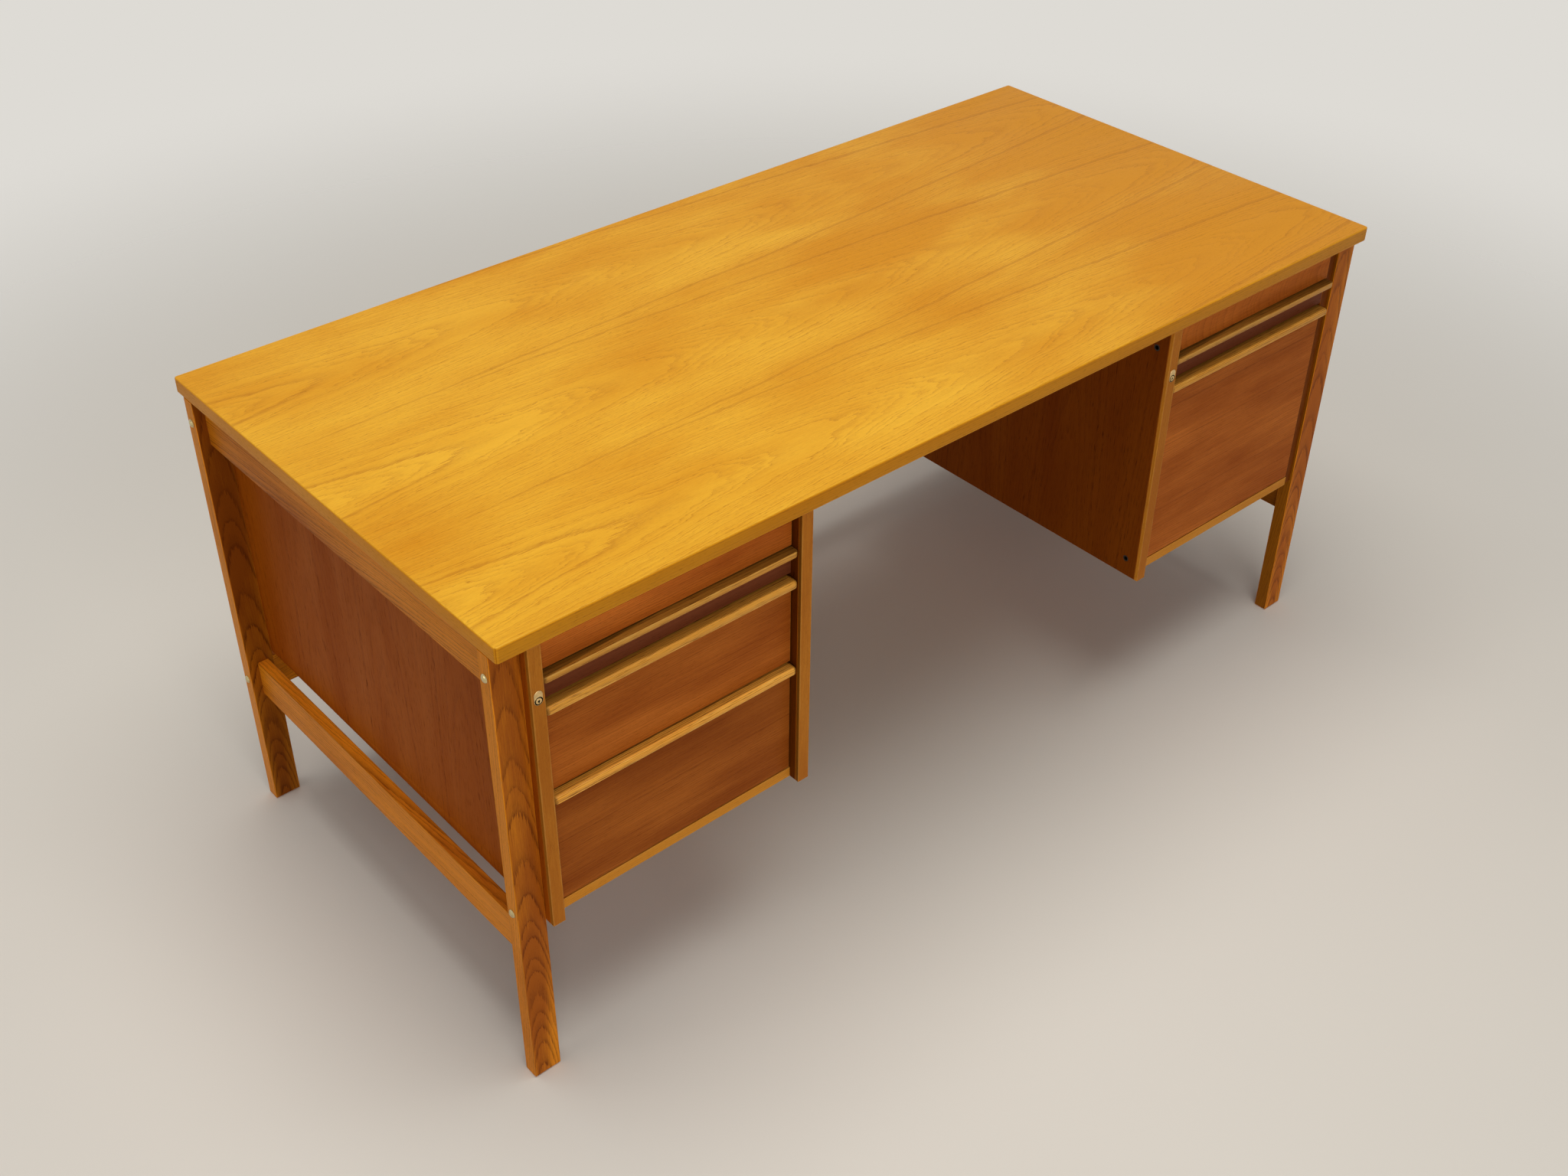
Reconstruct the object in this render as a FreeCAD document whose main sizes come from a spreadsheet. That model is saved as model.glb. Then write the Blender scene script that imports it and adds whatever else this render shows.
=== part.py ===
"""Pedestal desk: a veneered top on two end frames, with two hung drawer pedestals.

Millimetres, +Z up, +X along the desk's length, -Y towards the person who sits at it.
The origin is on the floor, under the middle of the top.
"""
import FreeCAD, Part
import os
import re

DOC = FreeCAD.newDocument("pedestal_desk")
SHEET = DOC.addObject("Spreadsheet::Sheet", "Sizes")

# Driving sizes. The name of each is its alias in the sheet.
SIZES = {
    # the top
    "desk_length": 1600,
    "desk_depth": 756,
    "desk_height": 730,
    "top_thick": 22.5,
    "lipping_width": 9,
    "top_corner_radius": 4,
    "top_arris_radius": 2,
    # the end frames
    "leg_width": 40,
    "leg_thick": 22,
    "leg_end_inset": 1,
    "leg_front_inset": 17,
    "leg_rear_inset": 20,
    "foot_chamfer": 2,
    "rail_thick": 17.5,
    "rail_outer_inset": 15,
    "top_rail_height": 69.5,
    "stretcher_height": 58,
    "stretcher_clear": 204,
    "arris_radius": 1.2,
    # bolts, nuts and screws
    "bolt_thick": 6,
    "bolt_head_wide": 12,
    "bolt_head_high": 3.5,
    "bolt_clearance": 0.3,
    "bolt_grip": 12,
    "low_bolt_rise": 30,
    "insert_wide": 10,
    "insert_length": 14,
    "seat_clearance": 0.2,
    "barrel_setback": 40,
    "barrel_length": 14,
    "screw_thick": 4,
    "screw_head_wide": 8,
    "screw_head_high": 2.5,
    "screw_bite": 12,
    # the pedestals
    "pedestal_width": 418,
    "pedestal_setback": 1,
    "side_thick": 18,
    "side_lipping": 6,
    "bottom_thick": 16,
    "bottom_lipping": 6,
    "back_thick": 8,
    "back_inset": 4,
    "brace_thick": 16,
    "brace_depth": 80,
    "brace_clearance": 1,
    "front_recess": 17,
    "gap_rail_height": 31,
    "gap_rail_thick": 20,
    "gap_rail_setback": 3,
    # the drawers
    "low_drawer_height": 181,
    "mid_drawer_height": 136,
    "top_drawer_height": 61.5,
    "drawer_clearance": 2,
    "front_thick": 16,
    "front_side_clearance": 1.5,
    "front_arris": 0.8,
    "handle_high": 10,
    "handle_reach": 14,
    "handle_corner": 6,
    "handle_nose": 4.5,
    "handle_arris": 1,
    "shadow_gap": 1.5,
    "shadow_depth": 6,
    "box_rear_gap": 90,
    "box_side_clearance": 2.5,
    "box_wall": 12,
    "box_low_gap": 8,
    "box_top_gap": 18,
    "box_bottom_thick": 4,
    "box_bottom_rise": 6,
    "runner_high": 12,
    "runner_start": 35,
    "runner_clearance": 0.3,
    "groove_depth": 6,
    # the locks
    "lock_rise": 24,
    "lock_wide": 12,
    "lock_high": 20,
    "lock_wall": 0.6,
    "lock_proud": 0.6,
    "lock_depth": 36,
    "plug_clearance": 0.4,
    "plug_proud": 0.3,
    "keyhole_round": 2.6,
    "keyhole_slot_wide": 1.2,
    "keyhole_slot_high": 4,
    "keyhole_deep": 5,
    "cam_reach": 8,
    "cam_wide": 3,
    "cam_thick": 4,
    "cam_clearance": 1.2,
    "bar_thick": 3,
    "bar_wide": 8,
    "bar_over_lock": 41,
    "bar_travel": 10,
    "bar_clearance": 0.5,
    "bar_end_gap": 4,
    # how far a cut runs past the face that it opens
    "overrun": 1,
}
for row, (alias, size) in enumerate(SIZES.items(), start=1):
    SHEET.set(f"A{row}", alias)
    SHEET.set(f"B{row}", str(size))
    SHEET.setAlias(f"B{row}", alias)
DOC.recompute()

X_AXIS, Y_AXIS, Z_AXIS = (FreeCAD.Vector(*row) for row in ((1, 0, 0), (0, 1, 0), (0, 0, 1)))
UPRIGHT = FreeCAD.Rotation()
HALF_TURN = FreeCAD.Rotation(Z_AXIS, 180)
QUARTER_TURN = FreeCAD.Rotation(Z_AXIS, 90)
ALONG_X = FreeCAD.Rotation(Y_AXIS, 90)
ALONG_MINUS_X = FreeCAD.Rotation(Y_AXIS, -90)
ALONG_Y = FreeCAD.Rotation(X_AXIS, -90)
# At rest the lock's cam points down at the bar, half way between level and plumb.
CAM_AT_REST = FreeCAD.Rotation(Y_AXIS, 45)
ZERO = ("0", "0", "0")
NODES = []


def of(text):
    """Writes an expression in the sheet's names as one that an object can hold."""
    return re.sub(r"[a-z]\w*", lambda word: f"Sizes.{word.group()}", text)


def value(text):
    """The present value of an expression in the sheet's names."""
    return float(SHEET.evalExpression(of(text)))


def bind(thing, **exprs):
    for prop, text in exprs.items():
        thing.setExpression(prop, of(text))


def place(thing, at, turn=UPRIGHT):
    thing.Placement = FreeCAD.Placement(FreeCAD.Vector(), turn)
    for axis, text in zip("xyz", at):
        thing.setExpression(f"Placement.Base.{axis}", of(text))


def node(thing, label):
    thing.Label = label
    NODES.append(thing)
    return thing


# Pieces cut from one board or bar: a body with blocks, eased edges and cuts.
def body_at(label, at):
    body = DOC.addObject("PartDesign::Body", label)
    place(body, at)
    return node(body, label)


def add_feature(body, kind, at, turn=UPRIGHT, **exprs):
    feature = body.newObject(f"PartDesign::{kind}", f"{body.Name}_{kind}")
    bind(feature, **exprs)
    place(feature, at, turn)
    DOC.recompute()


def add_block(body, at, size, turn=UPRIGHT):
    add_feature(body, "AdditiveBox", at, turn, Length=size[0], Width=size[1], Height=size[2])


def cut_block(body, at, size):
    add_feature(body, "SubtractiveBox", at, Length=size[0], Width=size[1], Height=size[2])


def add_round(body, wide, length, at, turn):
    add_feature(body, "AdditiveCylinder", at, turn, Radius=f"({wide}) / 2", Height=length)


def cut_round(body, wide, length, at, turn):
    add_feature(body, "SubtractiveCylinder", at, turn, Radius=f"({wide}) / 2", Height=length)


def board(label, at, size):
    body = body_at(label, at)
    add_block(body, ZERO, size)
    return body


def straight_edges(shape, axis, keep=lambda middle: True):
    """Numbers of the straight edges along an axis whose middle point passes the test."""
    found = []
    for number, edge in enumerate(shape.Edges, start=1):
        ends = [vertex.Point for vertex in edge.Vertexes]
        is_line = edge.Curve.TypeId == "Part::GeomLine"
        is_along = (ends[-1] - ends[0]).cross(axis).Length < Part.Precision.confusion()
        if is_line and is_along and keep(edge.CenterOfMass):
            found.append(number)
    return found


def ease(body, edges, size, kind="Fillet", prop="Radius"):
    """Rounds or chamfers the numbered edges of a body."""
    base = body.Tip
    feature = body.newObject(f"PartDesign::{kind}", f"{body.Name}_{kind}")
    feature.Base = (base, [f"Edge{number}" for number in edges])
    bind(feature, **{prop: size})
    DOC.recompute()


def ease_along(body, axes, radius):
    for axis in axes:
        ease(body, straight_edges(body.Tip.Shape, axis), radius)


# Simple solids, for groups of like pieces in one node.
def solid(kind, at, turn=UPRIGHT, **exprs):
    thing = DOC.addObject(f"Part::{kind}", kind)
    bind(thing, **exprs)
    place(thing, at, turn)
    return thing


def solid_box(at, size):
    return solid("Box", at, Length=size[0], Width=size[1], Height=size[2])


def solid_round(wide, length, at, turn=UPRIGHT):
    return solid("Cylinder", at, turn, Radius=f"({wide}) / 2", Height=length)


def combined(kind, base, tool):
    result = DOC.addObject(f"Part::{kind}", kind)
    result.Base, result.Tool = base, tool
    return result


def joined(shapes):
    result = DOC.addObject("Part::MultiFuse", "Joined")
    result.Shapes = shapes
    return result


def rounded(base, axes, size):
    """A simple solid with its straight edges along the axes rounded."""
    DOC.recompute()
    radius = value(size)
    result = DOC.addObject("Part::Fillet", "Rounded")
    result.Base = base
    result.Edges = [(number, radius, radius) for axis in axes for number in straight_edges(base.Shape, axis)]
    return result


def group(label, members):
    result = DOC.addObject("Part::Compound", label)
    result.Links = members
    return node(result, label)


# Places and sizes that several pieces share. Each is in brackets, to go into a longer sum.
UNDERSIDE = "( desk_height - top_thick )"
HALF_LENGTH = "( desk_length / 2 )"
HALF_DEPTH = "( desk_depth / 2 )"
LEG_INNER = f"( {HALF_LENGTH} - leg_end_inset - leg_width )"
FRONT_LEG_Y = f"( leg_front_inset - {HALF_DEPTH} )"
REAR_LEG_Y = f"( {HALF_DEPTH} - leg_rear_inset - leg_thick )"
TOP_RAIL_Z = f"( {UNDERSIDE} - top_rail_height )"
REAR_RAIL_Y = f"( {REAR_LEG_Y} + ( leg_thick - rail_thick ) / 2 )"
RAILS = {"top_rail": (TOP_RAIL_Z, "top_rail_height"), "stretcher": ("stretcher_clear", "stretcher_height")}

# Both pedestals hang from the top, so their heights count down from its underside.
LEFT_X = f"( -{LEG_INNER} )"
RIGHT_X = f"( {LEG_INNER} - pedestal_width )"
INNER_WIDTH = "( pedestal_width - 2 * side_thick )"
SIDE_FRONT_Y = f"( pedestal_setback - {HALF_DEPTH} )"
FACE_Y = f"( {SIDE_FRONT_Y} + front_recess )"
BOX_Y = f"( {FACE_Y} + front_thick )"
BRACE_Y = f"( {BOX_Y} + brace_clearance )"
BACK_Y = f"( {REAR_RAIL_Y} - back_inset - back_thick )"
BOX_LENGTH = f"( {BACK_Y} - {BOX_Y} - box_rear_gap )"
TOP_DRAWER_END = f"( {UNDERSIDE} - drawer_clearance )"
TOP_DRAWER_Z = f"( {TOP_DRAWER_END} - top_drawer_height )"
GAP_RAIL_Z = f"( {TOP_DRAWER_Z} - drawer_clearance - gap_rail_height )"
MID_DRAWER_END = f"( {GAP_RAIL_Z} - drawer_clearance )"
MID_DRAWER_Z = f"( {MID_DRAWER_END} - mid_drawer_height )"
LOW_DRAWER_END = f"( {MID_DRAWER_Z} - drawer_clearance )"
LOW_DRAWER_Z = f"( {LOW_DRAWER_END} - low_drawer_height )"
FLOOR_Z = f"( {LOW_DRAWER_Z} - drawer_clearance )"
PEDESTAL_Z = f"( {FLOOR_Z} - bottom_thick )"
PEDESTAL_HIGH = f"( {UNDERSIDE} - {PEDESTAL_Z} )"

# Front bolts hold the pedestals to the legs. Rear bolts hold the rear rails.
BOLT_HOLE = "( bolt_thick + 2 * bolt_clearance )"
SEAT_HOLE = "( insert_wide + 2 * seat_clearance )"
FRONT_BOLT_Y = f"( {FRONT_LEG_Y} + leg_thick / 2 )"
REAR_BOLT_Y = f"( {REAR_LEG_Y} + leg_thick / 2 )"
HIGH_BOLT_Z = f"( {UNDERSIDE} - top_rail_height / 2 )"
FRONT_BOLTS_Z = (f"( {PEDESTAL_Z} + low_bolt_rise )", HIGH_BOLT_Z)
REAR_BOLTS_Z = ("( stretcher_clear + stretcher_height / 2 )", HIGH_BOLT_Z)

# The lock's face is taller than it is wide, and its key plug sits in the lower lobe.
LOBE_RISE = "( lock_high - lock_wide )"
PLUG_Z = f"( {GAP_RAIL_Z} + lock_rise - {LOBE_RISE} / 2 )"
PLUG_WIDE = "( lock_wide - 2 * lock_wall - 2 * plug_clearance )"
LOCK_BACK_Y = f"( {SIDE_FRONT_Y} + lock_depth )"
BAR_Z = f"( {FLOOR_Z} + bar_end_gap )"
BAR_LENGTH = f"( {PLUG_Z} + bar_over_lock - {BAR_Z} )"


def brace_screws(x0):
    """The places of the four screws that hold the top down on one pedestal's braces."""
    across = (f"{x0} + side_thick + brace_depth", f"{x0} + pedestal_width - side_thick - brace_depth")
    along = (f"{BRACE_Y} + brace_depth / 2", f"{BACK_Y} - brace_depth / 2")
    return [(screw_x, screw_y) for screw_y in along for screw_x in across]


def make_top():
    """The veneered panel with a mitred solid lipping glued round it."""
    low = (f"-{HALF_LENGTH}", f"-{HALF_DEPTH}", UNDERSIDE)
    slab = solid_box(low, ("desk_length", "desk_depth", "top_thick"))
    slab = rounded(slab, (Z_AXIS,), "top_corner_radius")
    slab = rounded(slab, (X_AXIS, Y_AXIS), "top_arris_radius")

    core = solid_box((f"{low[0]} + lipping_width", f"{low[1]} + lipping_width", UNDERSIDE),
                     ("desk_length - 2 * lipping_width", "desk_depth - 2 * lipping_width", "top_thick"))
    pilot = ("screw_thick + 2 * seat_clearance", "screw_bite + overrun")
    pilots = [solid_round(*pilot, (*at, f"{UNDERSIDE} - overrun"))
              for x0 in (LEFT_X, RIGHT_X) for at in brace_screws(x0)]
    node(combined("Cut", combined("Common", slab, core), joined(pilots)), "desktop_panel")

    def lipping(length, across, turn):
        outward = -turn.multVec(Y_AXIS)
        at = (f"{outward.x:.0f} * {across} / 2", f"{outward.y:.0f} * {across} / 2", UNDERSIDE)
        mitred = solid("Wedge", at, turn, Xmin=f"-{length} / 2", Xmax=f"{length} / 2",
                       X2min=f"lipping_width - {length} / 2", X2max=f"{length} / 2 - lipping_width",
                       Ymin="0", Ymax="lipping_width", Zmin="0", Zmax="top_thick", Z2min="0", Z2max="top_thick")
        return combined("Common", slab, mitred)

    for label, length, across, turns in (
            ("desktop_long_lippings", "desk_length", "desk_depth", (UPRIGHT, HALF_TURN)),
            ("desktop_end_lippings", "desk_depth", "desk_length", (QUARTER_TURN, QUARTER_TURN.inverted()))):
        group(label, [lipping(length, across, turn) for turn in turns])


def make_end_frame(side):
    """Two legs joined by a rail under the top and a low stretcher."""
    is_left = side == "left"
    leg_x = f"( leg_end_inset - {HALF_LENGTH} )" if is_left else LEG_INNER
    rail_inset = "rail_outer_inset" if is_left else "leg_width - rail_outer_inset - rail_thick"
    legs = (("front", FRONT_LEG_Y, FRONT_BOLTS_Z), ("rear", REAR_LEG_Y, REAR_BOLTS_Z))
    for which, leg_y, bolts_z in legs:
        leg = board(f"{side}_{which}_leg", (leg_x, leg_y, "0"), ("leg_width", "leg_thick", UNDERSIDE))
        def at_floor(middle):
            return middle.z < value("foot_chamfer") / 2
        foot = leg.Tip.Shape
        sole = straight_edges(foot, X_AXIS, at_floor) + straight_edges(foot, Y_AXIS, at_floor)
        ease(leg, sole, "foot_chamfer", "Chamfer", "Size")
        ease_along(leg, (Z_AXIS,), "arris_radius")
        for bolt_z in bolts_z:
            at = ("-overrun", "leg_thick / 2", bolt_z)
            cut_round(leg, BOLT_HOLE, "leg_width + 2 * overrun", at, ALONG_X)

    rail_y = f"( {FRONT_LEG_Y} + leg_thick )"
    for which, (rail_z, high) in RAILS.items():
        rail = board(f"{side}_{which}", (f"{leg_x} + {rail_inset}", rail_y, rail_z),
                     ("rail_thick", f"{REAR_LEG_Y} - {rail_y}", high))
        ease_along(rail, (Y_AXIS,), "arris_radius")


def make_rear_rails():
    """The two rails that tie the end frames together, drilled for a bolt and a barrel nut at each end."""
    length = f"( 2 * {LEG_INNER} )"
    hole_length = "barrel_setback + insert_wide + overrun"
    for which, (rail_z, high) in RAILS.items():
        rail = board(f"rear_{which}", (f"-{LEG_INNER}", REAR_RAIL_Y, rail_z), (length, "rail_thick", high))
        ease_along(rail, (X_AXIS,), "arris_radius")
        middle = ("rail_thick / 2", f"{high} / 2")
        cut_round(rail, BOLT_HOLE, hole_length, ("-overrun", *middle), ALONG_X)
        cut_round(rail, BOLT_HOLE, hole_length, (f"{length} + overrun", *middle), ALONG_MINUS_X)
        for nut_x in ("barrel_setback", f"{length} - barrel_setback"):
            cut_round(rail, SEAT_HOLE, "barrel_length + overrun", (nut_x, "-overrun", middle[1]), ALONG_Y)


def bolt(hand, bolt_y, bolt_z, length):
    """A domed bolt through a leg, with its head on the leg's outer face."""
    outer_x = f"{hand} * ( {HALF_LENGTH} - leg_end_inset )"
    turn = ALONG_X if hand < 0 else ALONG_MINUS_X
    at = (outer_x, bolt_y, bolt_z)
    dome_radius = "( ( ( bolt_head_wide / 2 ) ^ 2 + bolt_head_high ^ 2 ) / ( 2 * bolt_head_high ) )"
    ball_x = f"{outer_x} + {hand} * ( bolt_head_high - {dome_radius} )"
    ball = solid("Sphere", (ball_x, bolt_y, bolt_z), Radius=dome_radius)
    inside_leg = solid_round(f"3 * {dome_radius}", f"3 * {dome_radius}", at, turn)
    return joined([combined("Cut", ball, inside_leg), solid_round("bolt_thick", length, at, turn)])


def barrel_nut(hand, bolt_z):
    nut_x = f"{hand} * ( {LEG_INNER} - barrel_setback )"
    barrel = solid_round("insert_wide", "barrel_length", (nut_x, REAR_RAIL_Y, bolt_z), ALONG_Y)
    hole = solid_round(BOLT_HOLE, "2 * insert_wide", (f"{nut_x} - insert_wide", REAR_BOLT_Y, bolt_z), ALONG_X)
    return combined("Cut", barrel, hole)


def threaded_insert(insert_x, bolt_z):
    """A sleeve with a thread, set flush in a pedestal's side."""
    at = (insert_x, FRONT_BOLT_Y, bolt_z)
    hole = solid_round(BOLT_HOLE, "insert_length + 2 * overrun", (f"{insert_x} - overrun", *at[1:]), ALONG_X)
    return combined("Cut", solid_round("insert_wide", "insert_length", at, ALONG_X), hole)


def screw(screw_x, screw_y):
    at = (screw_x, screw_y, f"{UNDERSIDE} - brace_thick - screw_head_high")
    shank = solid_round("screw_thick", "screw_head_high + brace_thick + screw_bite", at)
    return joined([solid_round("screw_head_wide", "screw_head_high", at), shank])


def make_fasteners():
    hands = (-1, 1)
    front_length = "leg_width + bolt_grip"
    group("front_leg_bolts", [bolt(hand, FRONT_BOLT_Y, bolt_z, front_length)
                              for hand in hands for bolt_z in FRONT_BOLTS_Z])
    rear_length = "leg_width + barrel_setback + insert_wide / 2"
    group("rear_leg_bolts", [bolt(hand, REAR_BOLT_Y, bolt_z, rear_length)
                             for hand in hands for bolt_z in REAR_BOLTS_Z])
    group("rail_barrel_nuts", [barrel_nut(hand, bolt_z) for hand in hands for bolt_z in REAR_BOLTS_Z])
    group("pedestal_inserts", [threaded_insert(insert_x, bolt_z) for x0 in (LEFT_X, RIGHT_X)
                               for insert_x in (x0, f"{x0} + pedestal_width - insert_length")
                               for bolt_z in FRONT_BOLTS_Z])
    group("top_screws", [screw(*at) for x0 in (LEFT_X, RIGHT_X) for at in brace_screws(x0)])


def make_pedestal(side, x0, plain_lipped):
    """The fixed pieces of one pedestal, with the lock in its left side. A plain side without a lipping
    stands back in line with the gap rail, so that the leg beside it shows its whole front."""
    right_x = f"( {x0} + pedestal_width - side_thick )"
    inner_x = f"( {x0} + side_thick )"
    core_y = f"( {SIDE_FRONT_Y} + side_lipping )"
    plain_y = core_y if plain_lipped else f"( {FACE_Y} + gap_rail_setback )"
    sides = {}
    for which, side_x, edge_y, mouth_x, turn in (
            ("lock_side", x0, core_y, "-overrun", ALONG_X),
            ("plain_side", right_x, plain_y, "side_thick + overrun", ALONG_MINUS_X)):
        panel = board(f"{side}_pedestal_{which}", (side_x, edge_y, PEDESTAL_Z),
                      ("side_thick", f"{REAR_RAIL_Y} - {edge_y}", PEDESTAL_HIGH))
        for bolt_z in FRONT_BOLTS_Z:
            at = (mouth_x, f"{FRONT_BOLT_Y} - {edge_y}", f"{bolt_z} - {PEDESTAL_Z}")
            cut_round(panel, SEAT_HOLE, "insert_length + overrun", at, turn)
        sides[which] = panel

    # the lock's mortise, the room for its cam, and the channel of its bar
    mortise = "( lock_wide + 2 * seat_clearance )"
    mortise_end = f"( {LOCK_BACK_Y} - {core_y} )"
    plug_z = f"( {PLUG_Z} - {PEDESTAL_Z} )"
    lock_side = sides["lock_side"]
    cut_block(lock_side, (f"( side_thick - {mortise} ) / 2", "-overrun", plug_z),
              (mortise, f"{mortise_end} + overrun", LOBE_RISE))
    for lobe_z in (plug_z, f"{plug_z} + {LOBE_RISE}"):
        at = ("side_thick / 2", "-overrun", lobe_z)
        cut_round(lock_side, mortise, f"{mortise_end} + overrun", at, ALONG_Y)
    channel = "bar_wide + 2 * bar_clearance"
    cam_room = "( cam_reach + cam_wide )"
    cam_room_x = f"( side_thick - {PLUG_WIDE} ) / 2 - bar_clearance"
    cut_block(lock_side, (cam_room_x, mortise_end, f"{plug_z} - {cam_room}"),
              ("side_thick", channel, f"2 * {cam_room}"))
    cut_block(lock_side, ("side_thick - bar_thick - 2 * bar_clearance", mortise_end, "bottom_thick"),
              ("side_thick", channel, f"{BAR_LENGTH} + bar_travel + 2 * bar_end_gap"))

    def lipping(side_x):
        return solid_box((side_x, SIDE_FRONT_Y, PEDESTAL_Z), ("side_thick", "side_lipping", PEDESTAL_HIGH))

    mouth_y, mouth_deep = f"{SIDE_FRONT_Y} - overrun", "side_lipping + 2 * overrun"
    mouth_x = f"{x0} + ( side_thick - {mortise} ) / 2"
    mouth = [solid_box((mouth_x, mouth_y, PLUG_Z), (mortise, mouth_deep, LOBE_RISE))]
    mouth += [solid_round(mortise, mouth_deep, (f"{x0} + side_thick / 2", mouth_y, lobe_z), ALONG_Y)
              for lobe_z in (PLUG_Z, f"{PLUG_Z} + {LOBE_RISE}")]
    ledge = solid_box((inner_x, FACE_Y, PEDESTAL_Z), (INNER_WIDTH, "bottom_lipping", "bottom_thick"))
    plain_lippings = [lipping(right_x)] if plain_lipped else []
    group(f"{side}_pedestal_lippings", [combined("Cut", lipping(x0), joined(mouth)), *plain_lippings, ledge])

    bottom_y = f"( {FACE_Y} + bottom_lipping )"
    board(f"{side}_pedestal_bottom", (inner_x, bottom_y, PEDESTAL_Z),
          (INNER_WIDTH, f"{BACK_Y} - {bottom_y}", "bottom_thick"))
    board(f"{side}_pedestal_back", (inner_x, BACK_Y, PEDESTAL_Z), (INNER_WIDTH, "back_thick", PEDESTAL_HIGH))
    rail = board(f"{side}_gap_rail", (inner_x, f"{FACE_Y} + gap_rail_setback", GAP_RAIL_Z),
                 (INNER_WIDTH, "gap_rail_thick", "gap_rail_height"))
    ease_along(rail, (X_AXIS,), "front_arris")

    brace_z = f"( {UNDERSIDE} - brace_thick )"
    holes = joined([solid_round("screw_thick + 2 * bolt_clearance", "brace_thick + 2 * overrun",
                                (*at, f"{brace_z} - overrun")) for at in brace_screws(x0)])
    braces = [solid_box((inner_x, brace_y, brace_z), (INNER_WIDTH, "brace_depth", "brace_thick"))
              for brace_y in (BRACE_Y, f"{BACK_Y} - brace_depth")]
    group(f"{side}_pedestal_braces", [combined("Cut", brace, holes) for brace in braces])


def make_lock(side, x0):
    """A lock in the left side's front edge, whose cam lifts a bar behind the drawer fronts."""
    axis_x = f"( {x0} + side_thick / 2 )"
    face_y = f"( {SIDE_FRONT_Y} - lock_proud )"
    length = "( lock_proud + lock_depth )"
    case = body_at(f"{side}_lock_case", (axis_x, face_y, PLUG_Z))
    add_block(case, ("-lock_wide / 2", "0", "0"), ("lock_wide", length, LOBE_RISE))
    for lobe_z in ("0", LOBE_RISE):
        add_round(case, "lock_wide", length, ("0", "0", lobe_z), ALONG_Y)
    bore = f"{PLUG_WIDE} + 2 * plug_clearance"
    cut_round(case, bore, f"{length} + 2 * overrun", ("0", "-overrun", "0"), ALONG_Y)

    plug = body_at(f"{side}_lock_plug", (axis_x, f"{face_y} - plug_proud", PLUG_Z))
    cam_y = f"( plug_proud + {length} + bar_clearance )"
    add_round(plug, PLUG_WIDE, f"{cam_y} + cam_thick", ZERO, ALONG_Y)
    across = CAM_AT_REST.multVec(Z_AXIS)
    cam_at = (f"-{across.x:.6f} * cam_wide / 2", cam_y, f"-{across.z:.6f} * cam_wide / 2")
    add_block(plug, cam_at, ("cam_reach", "cam_thick", "cam_wide"), CAM_AT_REST)
    keyhole_length = "keyhole_deep + overrun"
    cut_round(plug, "keyhole_round", keyhole_length, ("0", "-overrun", "0"), ALONG_Y)
    cut_block(plug, ("-keyhole_slot_wide / 2", "-overrun", "-keyhole_slot_high"),
              ("keyhole_slot_wide", keyhole_length, "keyhole_slot_high"))

    bar_at = (f"{x0} + side_thick - bar_thick - bar_clearance", f"{LOCK_BACK_Y} + bar_clearance", BAR_Z)
    bar = board(f"{side}_lock_bar", bar_at, ("bar_thick", "bar_wide", BAR_LENGTH))
    notch_high = "( cam_wide + 2 * cam_clearance )"
    cut_block(bar, ("-overrun", "-overrun", f"{PLUG_Z} - bar_travel / 2 - {notch_high} / 2 - {BAR_Z}"),
              ("bar_thick + 2 * overrun", "cam_thick + bar_clearance + overrun", notch_high))


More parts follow.
